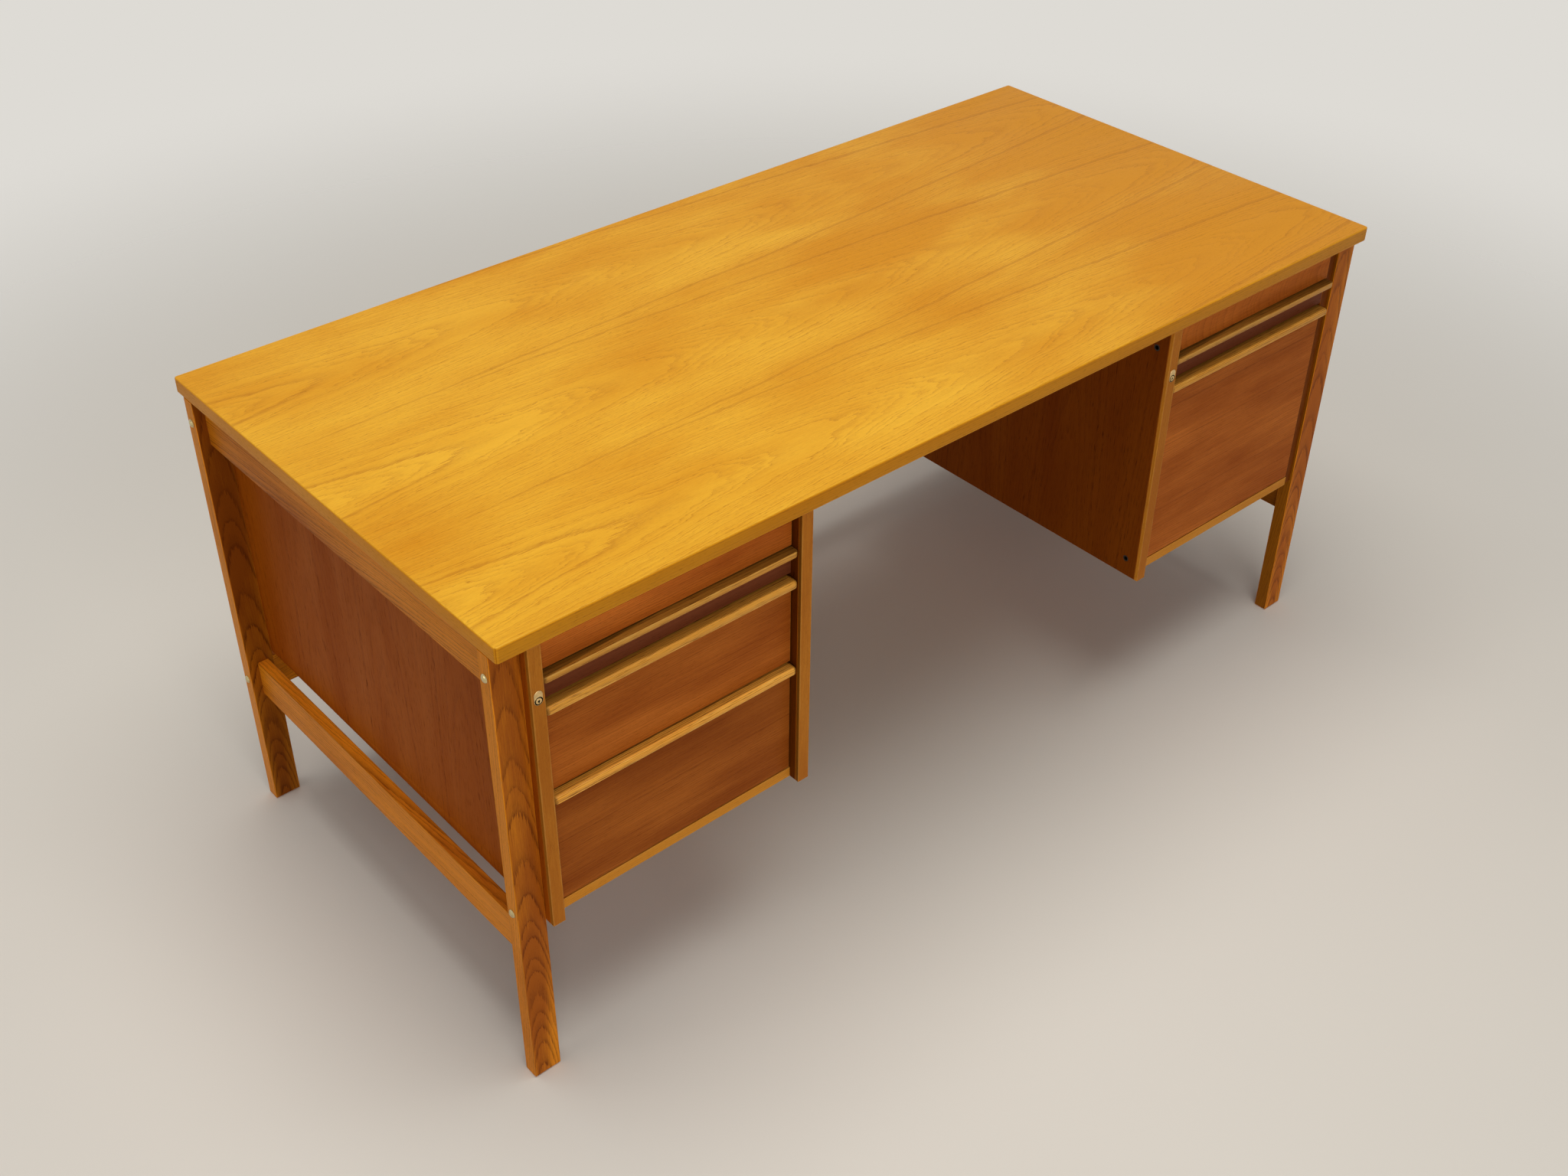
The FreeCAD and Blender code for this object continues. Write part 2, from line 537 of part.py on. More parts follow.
def make_drawer(name, x0, low_z, high_z, grip_below=False):
    """A front with a full-width grip along one edge, and a box that runs on strips at its sides."""
    front_x = f"( {x0} + side_thick + front_side_clearance )"
    front_wide = f"( {INNER_WIDTH} - 2 * front_side_clearance )"
    high = f"( {high_z} - {low_z} )"
    grip_room = "( handle_high + shadow_gap )" if grip_below else "handle_high"
    front_z = f"{low_z} + {grip_room}" if grip_below else low_z
    front = board(f"{name}_front", (front_x, FACE_Y, front_z),
                  (front_wide, "front_thick", f"{high} - {grip_room}"))
    ease_along(front, (X_AXIS, Z_AXIS), "front_arris")

    # The grip's nose is rounded most on the side away from its own front.
    grip_z = low_z if grip_below else f"{high_z} - handle_high"
    grip = board(f"{name}_handle", (front_x, f"{FACE_Y} - handle_reach", grip_z),
                 (front_wide, "handle_reach + front_thick", "handle_high"))
    def at_tip(middle):
        return middle.y < value("handle_reach") / 2
    def on_nose(middle):
        return at_tip(middle) and (middle.z < value("handle_high") / 2) == grip_below
    def off_nose(middle):
        return at_tip(middle) and not on_nose(middle)
    ease(grip, straight_edges(grip.Tip.Shape, Z_AXIS, at_tip), "handle_corner")
    for radius, chosen in (("handle_nose", on_nose), ("handle_arris", off_nose)):
        ease(grip, straight_edges(grip.Tip.Shape, X_AXIS, chosen)[:1], radius)
    if grip_below:
        add_block(grip, ("0", "handle_reach + shadow_depth", "handle_high"),
                  (front_wide, "front_thick - shadow_depth", "shadow_gap"))

    box_x = f"( {x0} + side_thick + box_side_clearance )"
    box_wide = f"( {INNER_WIDTH} - 2 * box_side_clearance )"
    box_z = f"( {low_z} + box_low_gap )"
    box_high = f"( {high} - box_low_gap - box_top_gap )"
    groove_z = f"( {box_z} + {box_high} / 2 - runner_high / 2 - runner_clearance )"
    groove = ("groove_depth + overrun", f"{BOX_LENGTH} + 2 * overrun", "runner_high + 2 * runner_clearance")
    right_wall_x = f"( {box_x} + {box_wide} - box_wall )"
    walls = []
    right_groove_x = f"{right_wall_x} + box_wall - groove_depth"
    for wall_x, groove_x in ((box_x, f"{box_x} - overrun"), (right_wall_x, right_groove_x)):
        wall = solid_box((wall_x, BOX_Y, box_z), ("box_wall", BOX_LENGTH, box_high))
        slot = solid_box((groove_x, f"{BOX_Y} - overrun", groove_z), groove)
        walls.append(combined("Cut", wall, slot))
    inside_x = f"( {box_x} + box_wall )"
    inside_wide = f"( {box_wide} - 2 * box_wall )"
    inside_length = f"( {BOX_LENGTH} - box_wall )"
    back_at = (inside_x, f"{BOX_Y} + {inside_length}", box_z)
    walls.append(solid_box(back_at, (inside_wide, "box_wall", box_high)))
    group(f"{name}_box", walls)
    board(f"{name}_bottom", (inside_x, BOX_Y, f"{box_z} + box_bottom_rise"),
          (inside_wide, inside_length, "box_bottom_thick"))

    # the two strips on the pedestal's sides that fill this drawer's grooves
    thick = "( box_side_clearance + groove_depth - runner_clearance )"
    strip = (thick, f"{BOX_LENGTH} - runner_start", "runner_high")
    strip_y, strip_z = f"{BOX_Y} + runner_start", f"{groove_z} + runner_clearance"
    strips_x = (f"{x0} + side_thick", f"{x0} + pedestal_width - side_thick - {thick}")
    return [solid_box((strip_x, strip_y, strip_z), strip) for strip_x in strips_x]


PEDESTALS = {
    "left": (LEFT_X, {"left_top_drawer": (TOP_DRAWER_Z, TOP_DRAWER_END, True),
                      "left_middle_drawer": (MID_DRAWER_Z, MID_DRAWER_END),
                      "left_low_drawer": (LOW_DRAWER_Z, LOW_DRAWER_END)}),
    "right": (RIGHT_X, {"right_top_drawer": (TOP_DRAWER_Z, TOP_DRAWER_END, True),
                        "right_file_drawer": (LOW_DRAWER_Z, MID_DRAWER_END)}),
}

make_top()
for side in PEDESTALS:
    make_end_frame(side)
make_rear_rails()
make_fasteners()
for side, (x0, drawers) in PEDESTALS.items():
    make_pedestal(side, x0, plain_lipped=side == "left")
    make_lock(side, x0)
    strips = []
    for name, span in drawers.items():
        strips += make_drawer(name, x0, *span)
    group(f"{side}_drawer_runners", strips)

DOC.recompute()
failed = [thing.Label for thing in DOC.Objects if "Invalid" in thing.State or "Error" in thing.State]
bad = [thing.Label for thing in NODES if thing.Shape.isNull() or not thing.Shape.isValid()]
if failed or bad:
    raise RuntimeError(f"failed objects {failed}, bad shapes {bad}")
os.makedirs("parts", exist_ok=True)
for thing in NODES:
    thing.Shape.exportStep(f"parts/{thing.Label}.step")
print(len(NODES), "nodes written")
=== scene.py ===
"""Pedestal desk: the looks of a veneered desk with two hung drawer pedestals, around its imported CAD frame.

Metres, +Z up, +X along the desk's length, -Y the way that the drawers open.
"""

import math
import random

import bmesh
import bpy
from bpy.props import FloatProperty, FloatVectorProperty, PointerProperty
from mathutils import Matrix, Vector


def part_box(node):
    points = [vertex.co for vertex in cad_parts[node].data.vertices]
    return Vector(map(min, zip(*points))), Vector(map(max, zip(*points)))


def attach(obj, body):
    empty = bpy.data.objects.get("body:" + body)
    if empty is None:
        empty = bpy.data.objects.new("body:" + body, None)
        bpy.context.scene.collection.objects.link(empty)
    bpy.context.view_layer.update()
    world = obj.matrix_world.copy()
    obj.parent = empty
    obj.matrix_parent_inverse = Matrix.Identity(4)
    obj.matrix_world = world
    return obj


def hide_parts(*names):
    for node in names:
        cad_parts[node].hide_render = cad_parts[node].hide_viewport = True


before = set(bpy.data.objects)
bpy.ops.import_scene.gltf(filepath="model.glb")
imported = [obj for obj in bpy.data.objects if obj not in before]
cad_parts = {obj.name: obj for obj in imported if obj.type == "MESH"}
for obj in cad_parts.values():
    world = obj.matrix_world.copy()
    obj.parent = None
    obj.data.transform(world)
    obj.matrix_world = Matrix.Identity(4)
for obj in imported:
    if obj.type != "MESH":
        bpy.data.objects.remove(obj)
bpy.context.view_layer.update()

bl_info = {
    "name": "Pedestal desk",
    "version": (1, 0, 0),
    "blender": (4, 5, 0),
    "location": "View3D > Sidebar > Desk",
    "description": "Dresses the frame of a pedestal desk with its boards, drawers, locks and bolts",
    "category": "Object",
}

MM = 0.001
# Points this close are one point, and a point this close to a plane lies in it.
WELD, TOUCH = 0.001 * MM, 0.01 * MM
X, Y, Z = 0, 1, 2
SIDES = ("left", "right")
DRAWERS = ("left_top_drawer", "left_middle_drawer", "left_low_drawer",
           "right_top_drawer", "right_file_drawer")

# Boards are cut at random places of a log that is so many metres long, and differ a little in tone.
SEED = 1964
CUTS = random.Random(SEED)
LOG, BOARD_TONES = (0, 4), (0.97, 1.03)
# How far from the pith each kind of board was cut, in millimetres.
FROM_PITH = {
    "top lipping": 120, "leg": 62, "rail": 62, "panel": 140, "level lipping": 110, "upright lipping": 90,
    "sheet": 200, "gap rail": 120, "strip": 100, "front": 170, "flamed front": 130, "grip": 120, "box": 110,
}
# Where the top's veneer was cut: along the log, off its middle, and from the pith.
TOP_CUT = Vector((1.3, 4 * MM, 165 * MM))
# The drawer whose front was cut more steeply through the rings, so that it shows flames, and by how much.
FLAMED_DRAWER, FLAMED_LEAN = "right_top_drawer", -0.24

# Tones of boards and faces: 1 is the wood's own colour, and less is darker.
# These tones are partly the boards' own and partly painted light and shade, set for how light falls on each
# board: the top drawers' grips, in the shade of the top's overhang, are darker, and the right front leg
# lighter.
FRONT_TONES = dict(zip(DRAWERS, (1.32, 0.96, 0.80, 1.14, 1.03)))
GRIP_TONES = dict(zip(DRAWERS, (0.90, 1.08, 1.18, 0.80, 0.95)))
LEG_TONES = {"left_front_leg": 1.0, "right_front_leg": 1.16, "left_rear_leg": 0.98, "right_rear_leg": 0.98}
# Painted shade on faces where shade falls: towards the kneehole, inside the frame and the pedestals, the
# fronts of the rear legs, an edge in a gap, and the inside of a lock.
KNEEHOLE_PAINTED_SHADE, INNER_PAINTED_SHADE, REAR_PAINTED_SHADE, EDGE_PAINTED_SHADE, GAP_PAINTED_SHADE = 0.55, 0.36, 0.58, 0.5, 0.07
# Painted light on the stretchers' tops. Painted shade on the front face of the top's front lipping
# and on the grips' tops.
STRETCHER_PAINTED_LIGHT, FRONT_LIPPING_PAINTED_SHADE, GRIP_TOP_PAINTED_SHADE = 1.20, 0.88, 0.72
# End grain takes up more stain. The side of a lipping that stands close to a leg gets painted shade.
GRIP_END_TONE, LIPPING_SIDE_PAINTED_SHADE = 0.40, 0.60
# How fast a grip's end darkens round its corner: at 1, only its flat end is as dark as given above.
END_STAIN = 1.6
# Faces of the pedestals' sides with painted shade: axis, low or high end of the board on it, tone.
SIDE_SHADES = {
    "left_pedestal_plain_side": ((X, 0, INNER_PAINTED_SHADE), (X, 1, KNEEHOLE_PAINTED_SHADE)),
    "right_pedestal_lock_side": ((X, 0, KNEEHOLE_PAINTED_SHADE),),
    "right_pedestal_plain_side": ((Y, 0, EDGE_PAINTED_SHADE),),
}

# Roundings that hardly show: the core of the top, a grip's tongue, a drawer's bottom, a lock's bar.
CORE_ARRIS, TONGUE_ARRIS, SHEET_ARRIS, BAR_ARRIS = 0.1 * MM, 0.2 * MM, 0.3 * MM, 0.3 * MM
# How far back in a drawer front's thickness a hanging grip's tongue begins.
TONGUE_SET = 0.375
# Points of a key plug that lie this many radii out belong to its cam.
CAM_REACH = 1.2
# Sizes of the hidden fasteners in millimetres, by the names of their node trees' inputs.
SCREW = {"Head Width": 8, "Head Height": 2.5, "Collar Height": 0.6, "Slot Width": 1.2, "Slot Depth": 1.2,
         "Shank Width": 4}
BARREL_NUT = {"Head Width": 10, "Head Height": 1, "Collar Height": 0.8, "Slot Width": 1.6, "Slot Depth": 0.8,
              "Shank Width": 9.9}
INSERT = {"Outer Width": 10, "Bore Width": 6.6}
INSERT_LENGTH, BOLT_SHANK = 14, 6

# Layers of a board's points, which its wood reads.
PLACE, HALF, CUT = "board_place", "board_half", "board_cut"
TONE, LEAN = "board_tone", "board_lean"
# Kinds of node that come up most.
MATH, VECTOR_MATH, NOISE = "ShaderNodeMath", "ShaderNodeVectorMath", "ShaderNodeTexNoise"
REMAP, MIX, ATTRIBUTE = "ShaderNodeMapRange", "ShaderNodeMix", "ShaderNodeAttribute"
SPLIT, COMBINE = "ShaderNodeSeparateXYZ", "ShaderNodeCombineXYZ"


def linear(text):
    """An sRGB hex colour as linear red, green and blue."""
    parts = [int(text[i:i + 2], 16) / 255 for i in (1, 3, 5)]
    return [part / 12.92 if part <= 0.04045 else ((part + 0.055) / 1.055) ** 2.4 for part in parts]


# How each wood was cut and finished. Lengths in millimetres.
#   ring, tilt, bow: width of a year ring, how fast the cut climbs through the rings, and its change per metre
#   leaf, seam: width of a veneer leaf (0 for a solid board), and how far its seams lie off the middle
#   thick, line: a ring line's width on the face, and its strength
#   straight: how much of that strength is left where lines run straight
#   feather: how far the fibres fray a ring line; wander, stray: how far and how slowly the rings stray
#   patch, dash: size of slow patches of tone, and of a pore
#   far_shade, flat: how much deeper painted shade makes the far end, and the flat-cut faces have turned
#   blotch, pore, wear: strength of slow patches, pores and rubbed arrises
#   gloss, shine: roughness and reflection
COMMON = dict(tilt=0.012, bow=0.0, leaf=0, seam=0, thick=1.4, line=0.4, straight=1.0, feather=0.35, wander=5,
              stray=(220, 60, 60), patch=(260, 50, 50), far_shade=0.0, flat=0.0, blotch=1.6, pore=0.45,
              dash=(7, 0.75, 0.75), wear=0.30, gloss=0.38, shine=0.05)
WOODS = {
    "top_veneer": dict(
        COMMON, name="oak_veneer_amber_lacquer", ring=1.9, tilt=0.030, leaf=266, seam=17, thick=1.8,
        line=0.80, straight=0.45, feather=0.30, wander=20, stray=(240, 52, 52), patch=(300, 110, 110),
        far_shade=0.75, blotch=2.1, pore=0.42, wear=0.10, gloss=0.36, shine=0.10),
    "top_lipping": dict(
        COMMON, name="oak_lipping_amber_lacquer", ring=2.6, wear=0.15, shine=0.08),
    "frame_wood": dict(
        COMMON, name="oak_solid_brown_stain", ring=3.4, tilt=0.075, bow=-0.06, thick=6.0, line=1.0,
        straight=0.5, feather=0.55, wander=8, flat=0.45, wear=0.08),
    "pedestal_veneer": dict(
        COMMON, name="oak_veneer_red_brown_stain", ring=3.2, tilt=0.022, leaf=190, thick=1.8, line=0.55,
        straight=0.5, feather=0.5, wander=12, blotch=2.2, pore=0.80, dash=(17, 1.3, 1.3), gloss=0.42,
        shine=0.025),
    "pedestal_lipping": dict(
        COMMON, name="oak_lipping_tan_lacquer", ring=2.2, wander=3, flat=0.35, wear=0.22),
    "drawer_veneer": dict(
        COMMON, name="oak_veneer_drawer_fronts", ring=2.6, tilt=0.040, thick=1.5, line=0.60, wander=6,
        blotch=2.0, gloss=0.40, shine=0.03),
    "grip_wood": dict(
        COMMON, name="oak_solid_honey_lacquer", ring=2.9, thick=2.2, line=1.0, wander=4, pore=1.0,
        dash=(22, 1.1, 1.1), wear=0.40, gloss=0.36, shine=0.15),
    "dark_wood": dict(
        COMMON, name="oak_solid_dark_stain", ring=2.6, pore=0.5, wear=0.2, gloss=0.45),
    "box_wood": dict(
        COMMON, name="beech_solid_clear_lacquer", ring=2.4, line=0.25, pore=0.25, wear=0.2, gloss=0.45),
    "plywood": dict(
        COMMON, name="birch_plywood_clear_lacquer", ring=4.0, tilt=0.03, line=0.25, wander=20, pore=0.15,
        wear=0.2, gloss=0.5),
}
# Colours of each wood: between the lines, in deeper patches, on the ring lines, in the pores, on worn edges.
WOOD_COLOURS = {
    "top_veneer": ("#E8B030", "#D08B16", "#A8620C", "#824A0A", "#EFC244"),
    "top_lipping": ("#F0A21C", "#DD8B10", "#BA6B09", "#844503", "#FCBE2B"),
    "frame_wood": ("#EE921E", "#AF5C14", "#682B05", "#562003", "#F0A22A"),
    "pedestal_veneer": ("#AE590D", "#9E4B09", "#763105", "#522003", "#C07418"),
    "pedestal_lipping": ("#DF932D", "#B86C1C", "#944C0E", "#663108", "#E6AF5A"),
    "drawer_veneer": ("#CE7429", "#A04E15", "#7C380F", "#5D2A09", "#D08D39"),
    "grip_wood": ("#F6B44C", "#E0952E", "#7A3C0A", "#592A04", "#FFCE6C"),
    "dark_wood": ("#86482A", "#733A21", "#592915", "#3C190A", "#A8623A"),
    "box_wood": ("#DDB47C", "#D0A264", "#B98848", "#8E6230", "#E4C492"),
    "plywood": ("#DDBE8C", "#D2AE78", "#B98F58", "#94703E", "#E4CC9E"),
}
COLOUR_PARTS = ("light", "deep", "line", "pore", "worn")
# How each metal looks: colour, roughness, depth of its scratches, and whether its points have tones of
# painted shade.
METALS = {
    # The bolts' warm colour is partly the plating's own, and partly a painted reflection of the warm wood
    # round them.
    "bolt_steel": dict(
        name="nickel_plated_steel_domed", colour="#CDBC8C", rough=0.14, scratch=0.35, toned=False),
    "lock_nickel": dict(
        name="nickel_plated_brass_lock", colour="#E2C288", rough=0.34, scratch=0.55, toned=True),
    "hardware_steel": dict(
        name="zinc_plated_steel", colour="#5A5650", rough=0.42, scratch=0.5, toned=False),
}


# ---------------------------------------------------------------- settings
def tint(name, description, colour):
    return FloatVectorProperty(name=name.replace("_", " ").capitalize(), description=description,
                               subtype="COLOR", size=3, min=0, max=1, default=linear(colour))


def length(name, description, millimetres):
    return FloatProperty(name=name, description=description, default=millimetres * MM, min=0,
                         unit="LENGTH", subtype="DISTANCE", precision=5)


def power(name, description, watts):
    return FloatProperty(name=name, description=description, default=watts, min=0, unit="POWER")


class DeskColours(bpy.types.PropertyGroup):
    """Colours of the desk's woods and metals"""
    __annotations__ = {
        **{f"{slot}_{part}": tint(f"{slot} {part}", f"Colour of the {slot}, {part} part", colour)
           for slot, colours in WOOD_COLOURS.items() for part, colour in zip(COLOUR_PARTS, colours)},
        **{slot: tint(slot, f"Colour of the {slot}", look["colour"]) for slot, look in METALS.items()},
    }


class DeskSizes(bpy.types.PropertyGroup):
    """Sizes of the desk's finished details"""
    top_arris: length("Top arris", "Rounding along the outer edge of the top", 2)
    top_corner: length("Top corner", "Rounding of the top's four corners, seen from above", 4)
    lipping_width: length("Lipping width", "Width of the solid strip round the top", 9)
    mitre_gap: length("Mitre gap", "Open joint between the lippings at a corner of the top", 0.9)
    veneer: length("Veneer", "Thickness of the face veneer, which covers the lipping too", 0.6)
    leg_arris: length("Leg arris", "Rounding along the legs and rails", 1.1)
    foot_chamfer: length("Foot chamfer", "Chamfer round the foot of a leg", 2)
    panel_arris: length("Panel arris", "Rounding along the edges of the pedestals' boards", 0.7)
    front_arris: length("Front arris", "Rounding round a drawer's front", 1.2)
    box_arris: length("Box arris", "Rounding along a drawer box's walls", 0.8)
    box_wall: length("Box wall", "Thickness of a drawer box's walls", 12)
    groove_depth: length("Groove depth", "Depth of the groove that a drawer runs on", 6)
    groove_height: length("Groove height", "Height of the groove that a drawer runs on", 12.6)
    grip_height: length("Grip height", "Height of a grip", 10)
    grip_corner: length("Grip corner", "Rounding of a grip's ends, seen from above", 6)
    grip_nose: length("Grip nose", "Large rounding along a grip's nose", 4.5)
    grip_arris: length("Grip arris", "Small rounding along a grip's other edge", 1)
    lock_rim: length("Lock rim", "Rounding of the lock's face", 0.5)
    lock_wall: length("Lock wall", "Thinnest wall of the lock's case beside the plug", 0.6)
    plug_gap: length("Plug gap", "Room between the key plug and its bore", 0.4)
    plug_face: length("Plug face", "Width of the key plug's face, inside the dark ring round it", 8.4)
    plug_rim: length("Plug rim", "Chamfer of the key plug's face", 0.4)
    plug_shoulder: length("Plug shoulder", "How far back the key plug widens to fill its bore", 3)
    keyhole_round: length("Keyhole round", "Width of the keyhole's round part", 3.2)
    keyhole_slot: length("Keyhole slot", "Width of the keyhole's slot", 1.5)
    keyhole_high: length("Keyhole height", "Length of the keyhole's slot under its middle", 3.2)
    keyhole_deep: length("Keyhole depth", "How far the keyhole runs into the plug", 5)
    bolt_head: length("Bolt head", "Width of a bolt's domed head", 12)
    bolt_dome: length("Bolt dome", "Height of a bolt's domed head", 3.5)
    bolt_collar: length("Bolt collar", "Height of the straight rim under the dome", 0.7)


class DeskStage(bpy.types.PropertyGroup):
    """Floor, lamps and background"""
    floor: tint("Floor", "Colour of the floor", "#E4E0D8")
    background: tint("Background", "Colour behind the floor", "#DEDBD5")
    floor_near: length("Floor near", "How far from the desk's middle the floor begins to fade", 1100)
    floor_far: length("Floor far", "How far from the desk's middle only the background shows", 3000)
    overhead: power("Overhead", "Strength of the soft lamp over the desk", 125)
    fill: power("Fill", "Strength of the soft lamp in front of the desk", 40)
    side: power("Side", "Strength of the soft lamp at the desk's left", 13)
    surround: FloatProperty(name="Surround", description="Strength of the light from all round",
                            default=0.15, min=0, max=2)


# ---------------------------------------------------------------- materials
def add(tree, kind, inputs=None, **settings):
    """Adds a node to a tree, sets its properties, and sets or links its inputs.

    An input given as a node is linked to that node's first live output.
    """
    node = tree.nodes.new(kind)
    for name, setting in settings.items():
        setattr(node, name, setting)
    for key, given in (inputs or {}).items():
        if isinstance(given, bpy.types.Node):
            given = next(socket for socket in given.outputs if socket.enabled)
        if isinstance(given, bpy.types.NodeSocket):
            tree.links.new(given, node.inputs[key])
        else:
            node.inputs[key].default_value = given
    return node


def per_mm(*sizes):
    """Texture scale for patterns of these sizes in millimetres."""
    return tuple(1 / (size * MM) for size in sizes)


def blank_material(name):
    material = bpy.data.materials.new(name)
    material.use_nodes = True
    material.node_tree.nodes.clear()
    return material, material.node_tree


def rgba(colour):
    return (*colour, 1)


def wood(slot, colours):
    """Lacquered wood, cut from a log. The eye sees arched or straight ring lines broken up by fine pores,
    slow changes of tone from board to board, a satin sheen, and arrises that hands have rubbed pale."""
    look = WOODS[slot]
    light, deep, line, pore, worn = (rgba(getattr(colours, f"{slot}_{part}")) for part in COLOUR_PARTS)
    material, tree = blank_material(look["name"])
    place, half, cut = (add(tree, ATTRIBUTE, attribute_name=layer).outputs["Vector"]
                        for layer in (PLACE, HALF, CUT))

    # A veneered face is laid from leaves of one flitch, side by side. Its figure repeats with a slight drift.
    board = place
    if look["leaf"]:
        leaf = look["leaf"] * MM
        across = add(tree, SPLIT, {0: place}).outputs["Y"]
        shifted = add(tree, MATH, {0: across, 1: 1 / leaf, 2: 0.5 + look["seam"] * MM / leaf},
                      operation="MULTIPLY_ADD")
        number = add(tree, MATH, {0: shifted}, operation="FLOOR")
        drift = (26 * MM, -leaf, 1.3 * MM)
        board = add(tree, VECTOR_MATH, {0: number, 1: drift, 2: place}, operation="MULTIPLY_ADD")
    log = add(tree, VECTOR_MATH, {0: board, 1: cut}, operation="ADD")

    # Year rings round the pith, which wanders along the log. The cut climbs through them.
    stretched = add(tree, VECTOR_MATH, {0: log, 1: per_mm(*look["stray"])}, operation="MULTIPLY")
    stray = add(tree, NOISE, {"Vector": stretched, "Scale": 1, "Detail": 7, "Roughness": 0.64})
    wander = look["wander"] * MM
    bent = add(tree, VECTOR_MATH, {0: stray.outputs["Color"], 1: (0, wander, 0.45 * wander), 2: log},
               operation="MULTIPLY_ADD")
    lengthwise = add(tree, SPLIT, {0: board}).outputs["X"]
    lean = add(tree, ATTRIBUTE, attribute_name=LEAN).outputs["Fac"]
    tilt = add(tree, MATH, {0: lean, 1: look["tilt"]}, operation="ADD")
    climb = add(tree, MATH, {0: lengthwise, 1: look["bow"], 2: tilt}, operation="MULTIPLY_ADD")
    bent_parts = add(tree, SPLIT, {0: bent}).outputs
    from_pith = add(tree, MATH, {0: climb, 1: lengthwise, 2: bent_parts["Z"]}, operation="MULTIPLY_ADD")
    off_2 = add(tree, MATH, {0: bent_parts["Y"], 1: bent_parts["Y"]}, operation="MULTIPLY")
    from_2 = add(tree, MATH, {0: from_pith, 1: from_pith}, operation="MULTIPLY")
    radius_2 = add(tree, MATH, {0: off_2, 1: from_2}, operation="ADD")
    radius = add(tree, MATH, {0: radius_2}, operation="SQRT")
    # How steeply the face crosses the rings: 1 where lines run straight, near 0 at the tip of an arch.
    # A board's narrow faces meet the rings square to its wide ones.
    inside = add(tree, VECTOR_MATH, {0: place}, operation="ABSOLUTE")
    inside = add(tree, VECTOR_MATH, {0: half, 1: inside}, operation="SUBTRACT")
    gap = add(tree, SPLIT, {0: inside}).outputs
    narrow = add(tree, MATH, {0: gap["Y"], 1: gap["Z"]}, operation="LESS_THAN")
    in_face = add(tree, MIX, {0: narrow, 2: off_2, 3: from_2})
    tilt_2 = add(tree, MATH, {0: tilt, 1: tilt}, operation="MULTIPLY")
    steep = add(tree, MATH, {0: from_2, 1: tilt_2, 2: in_face}, operation="MULTIPLY_ADD")
    steep = add(tree, MATH, {0: steep, 1: radius_2}, operation="DIVIDE")
    steep = add(tree, MATH, {0: steep}, operation="SQRT")
    steep = add(tree, MATH, {0: steep, 1: 0.03}, operation="MAXIMUM")

    # Fibres, pores, slow patches and rubbing: where each lies, size in millimetres, octaves, roughness.
    # Pores are drawn wider than the real 0.3 mm, so that they show.
    whole = add(tree, VECTOR_MATH, {0: place, 1: cut}, operation="ADD")
    patterns = []
    for at, size, detail, rough in ((bent, (38, 1.3, 1.3), 3, 0.65), (bent, look["dash"], 1, 0.5),
                                    (whole, look["patch"], 2, 0.5), (log, (26, 9, 9), 3, 0.6)):
        scaled = add(tree, VECTOR_MATH, {0: at, 1: per_mm(*size)}, operation="MULTIPLY")
        noise = add(tree, NOISE, {"Vector": scaled, "Scale": 1, "Detail": detail, "Roughness": rough})
        patterns.append(noise.outputs["Fac"])
    fibre, specks, patch, rubbed = patterns

    rings = add(tree, MATH, {0: radius, 1: look["ring"] * MM}, operation="DIVIDE")
    season = add(tree, NOISE, {"W": rings, "Scale": 0.31, "Detail": 1}, noise_dimensions="1D")
    rings = add(tree, MATH, {0: season.outputs["Fac"], 1: 3.0, 2: rings}, operation="MULTIPLY_ADD")
    rings = add(tree, MATH, {0: fibre, 1: look["feather"], 2: rings}, operation="MULTIPLY_ADD")
    through = add(tree, MATH, {0: rings}, operation="FRACT")
    year = add(tree, MATH, {0: rings}, operation="FLOOR")
    depth = add(tree, "ShaderNodeTexWhiteNoise", {"W": year}, noise_dimensions="1D").outputs["Value"]
    ring_on_face = add(tree, MATH, {0: look["ring"] * MM, 1: steep}, operation="DIVIDE")
    since = add(tree, MATH, {0: through, 1: ring_on_face}, operation="MULTIPLY")
    until = add(tree, MATH, {0: ring_on_face, 1: since}, operation="SUBTRACT")
    thick = add(tree, MATH, {0: ring_on_face, 1: 0.5}, operation="MULTIPLY")
    thick = add(tree, MATH, {0: thick, 1: look["thick"] * MM}, operation="MINIMUM")
    sharp = add(tree, MATH, {0: thick, 1: 0.3}, operation="MULTIPLY")
    fade = add(tree, REMAP, {"Value": since, 1: 0, 2: thick, 3: 1, 4: 0}, interpolation_type="SMOOTHSTEP")
    rise = add(tree, REMAP, {"Value": until, 1: 0, 2: sharp, 3: 1, 4: 0}, interpolation_type="SMOOTHSTEP")
    shade = add(tree, REMAP, {"Value": through, 1: 0, 2: 0.6, 3: 0.45, 4: 0})
    early = add(tree, MATH, {0: fade, 1: rise}, operation="MAXIMUM")
    early = add(tree, MATH, {0: early, 1: shade}, operation="MAXIMUM")

    broken = add(tree, REMAP, {"Value": fibre, 1: 0.32, 2: 0.60, 3: 0.45, 4: 1})
    depth = add(tree, REMAP, {"Value": depth, 1: 0, 2: 1, 3: 0.4, 4: 1})
    plain = add(tree, REMAP, {"Value": steep, 1: 0.1, 2: 0.9, 3: 1, 4: look["straight"]})
    lines = early
    for share in (broken, depth, plain):
        lines = add(tree, MATH, {0: lines, 1: share}, operation="MULTIPLY")
    pores = add(tree, REMAP, {"Value": specks, 1: 0.56, 2: 0.72, 3: 0, 4: 1})
    in_early = add(tree, MATH, {0: early, 1: 0.7, 2: 0.3}, operation="MULTIPLY_ADD")
    pores = add(tree, MATH, {0: pores, 1: in_early}, operation="MULTIPLY")

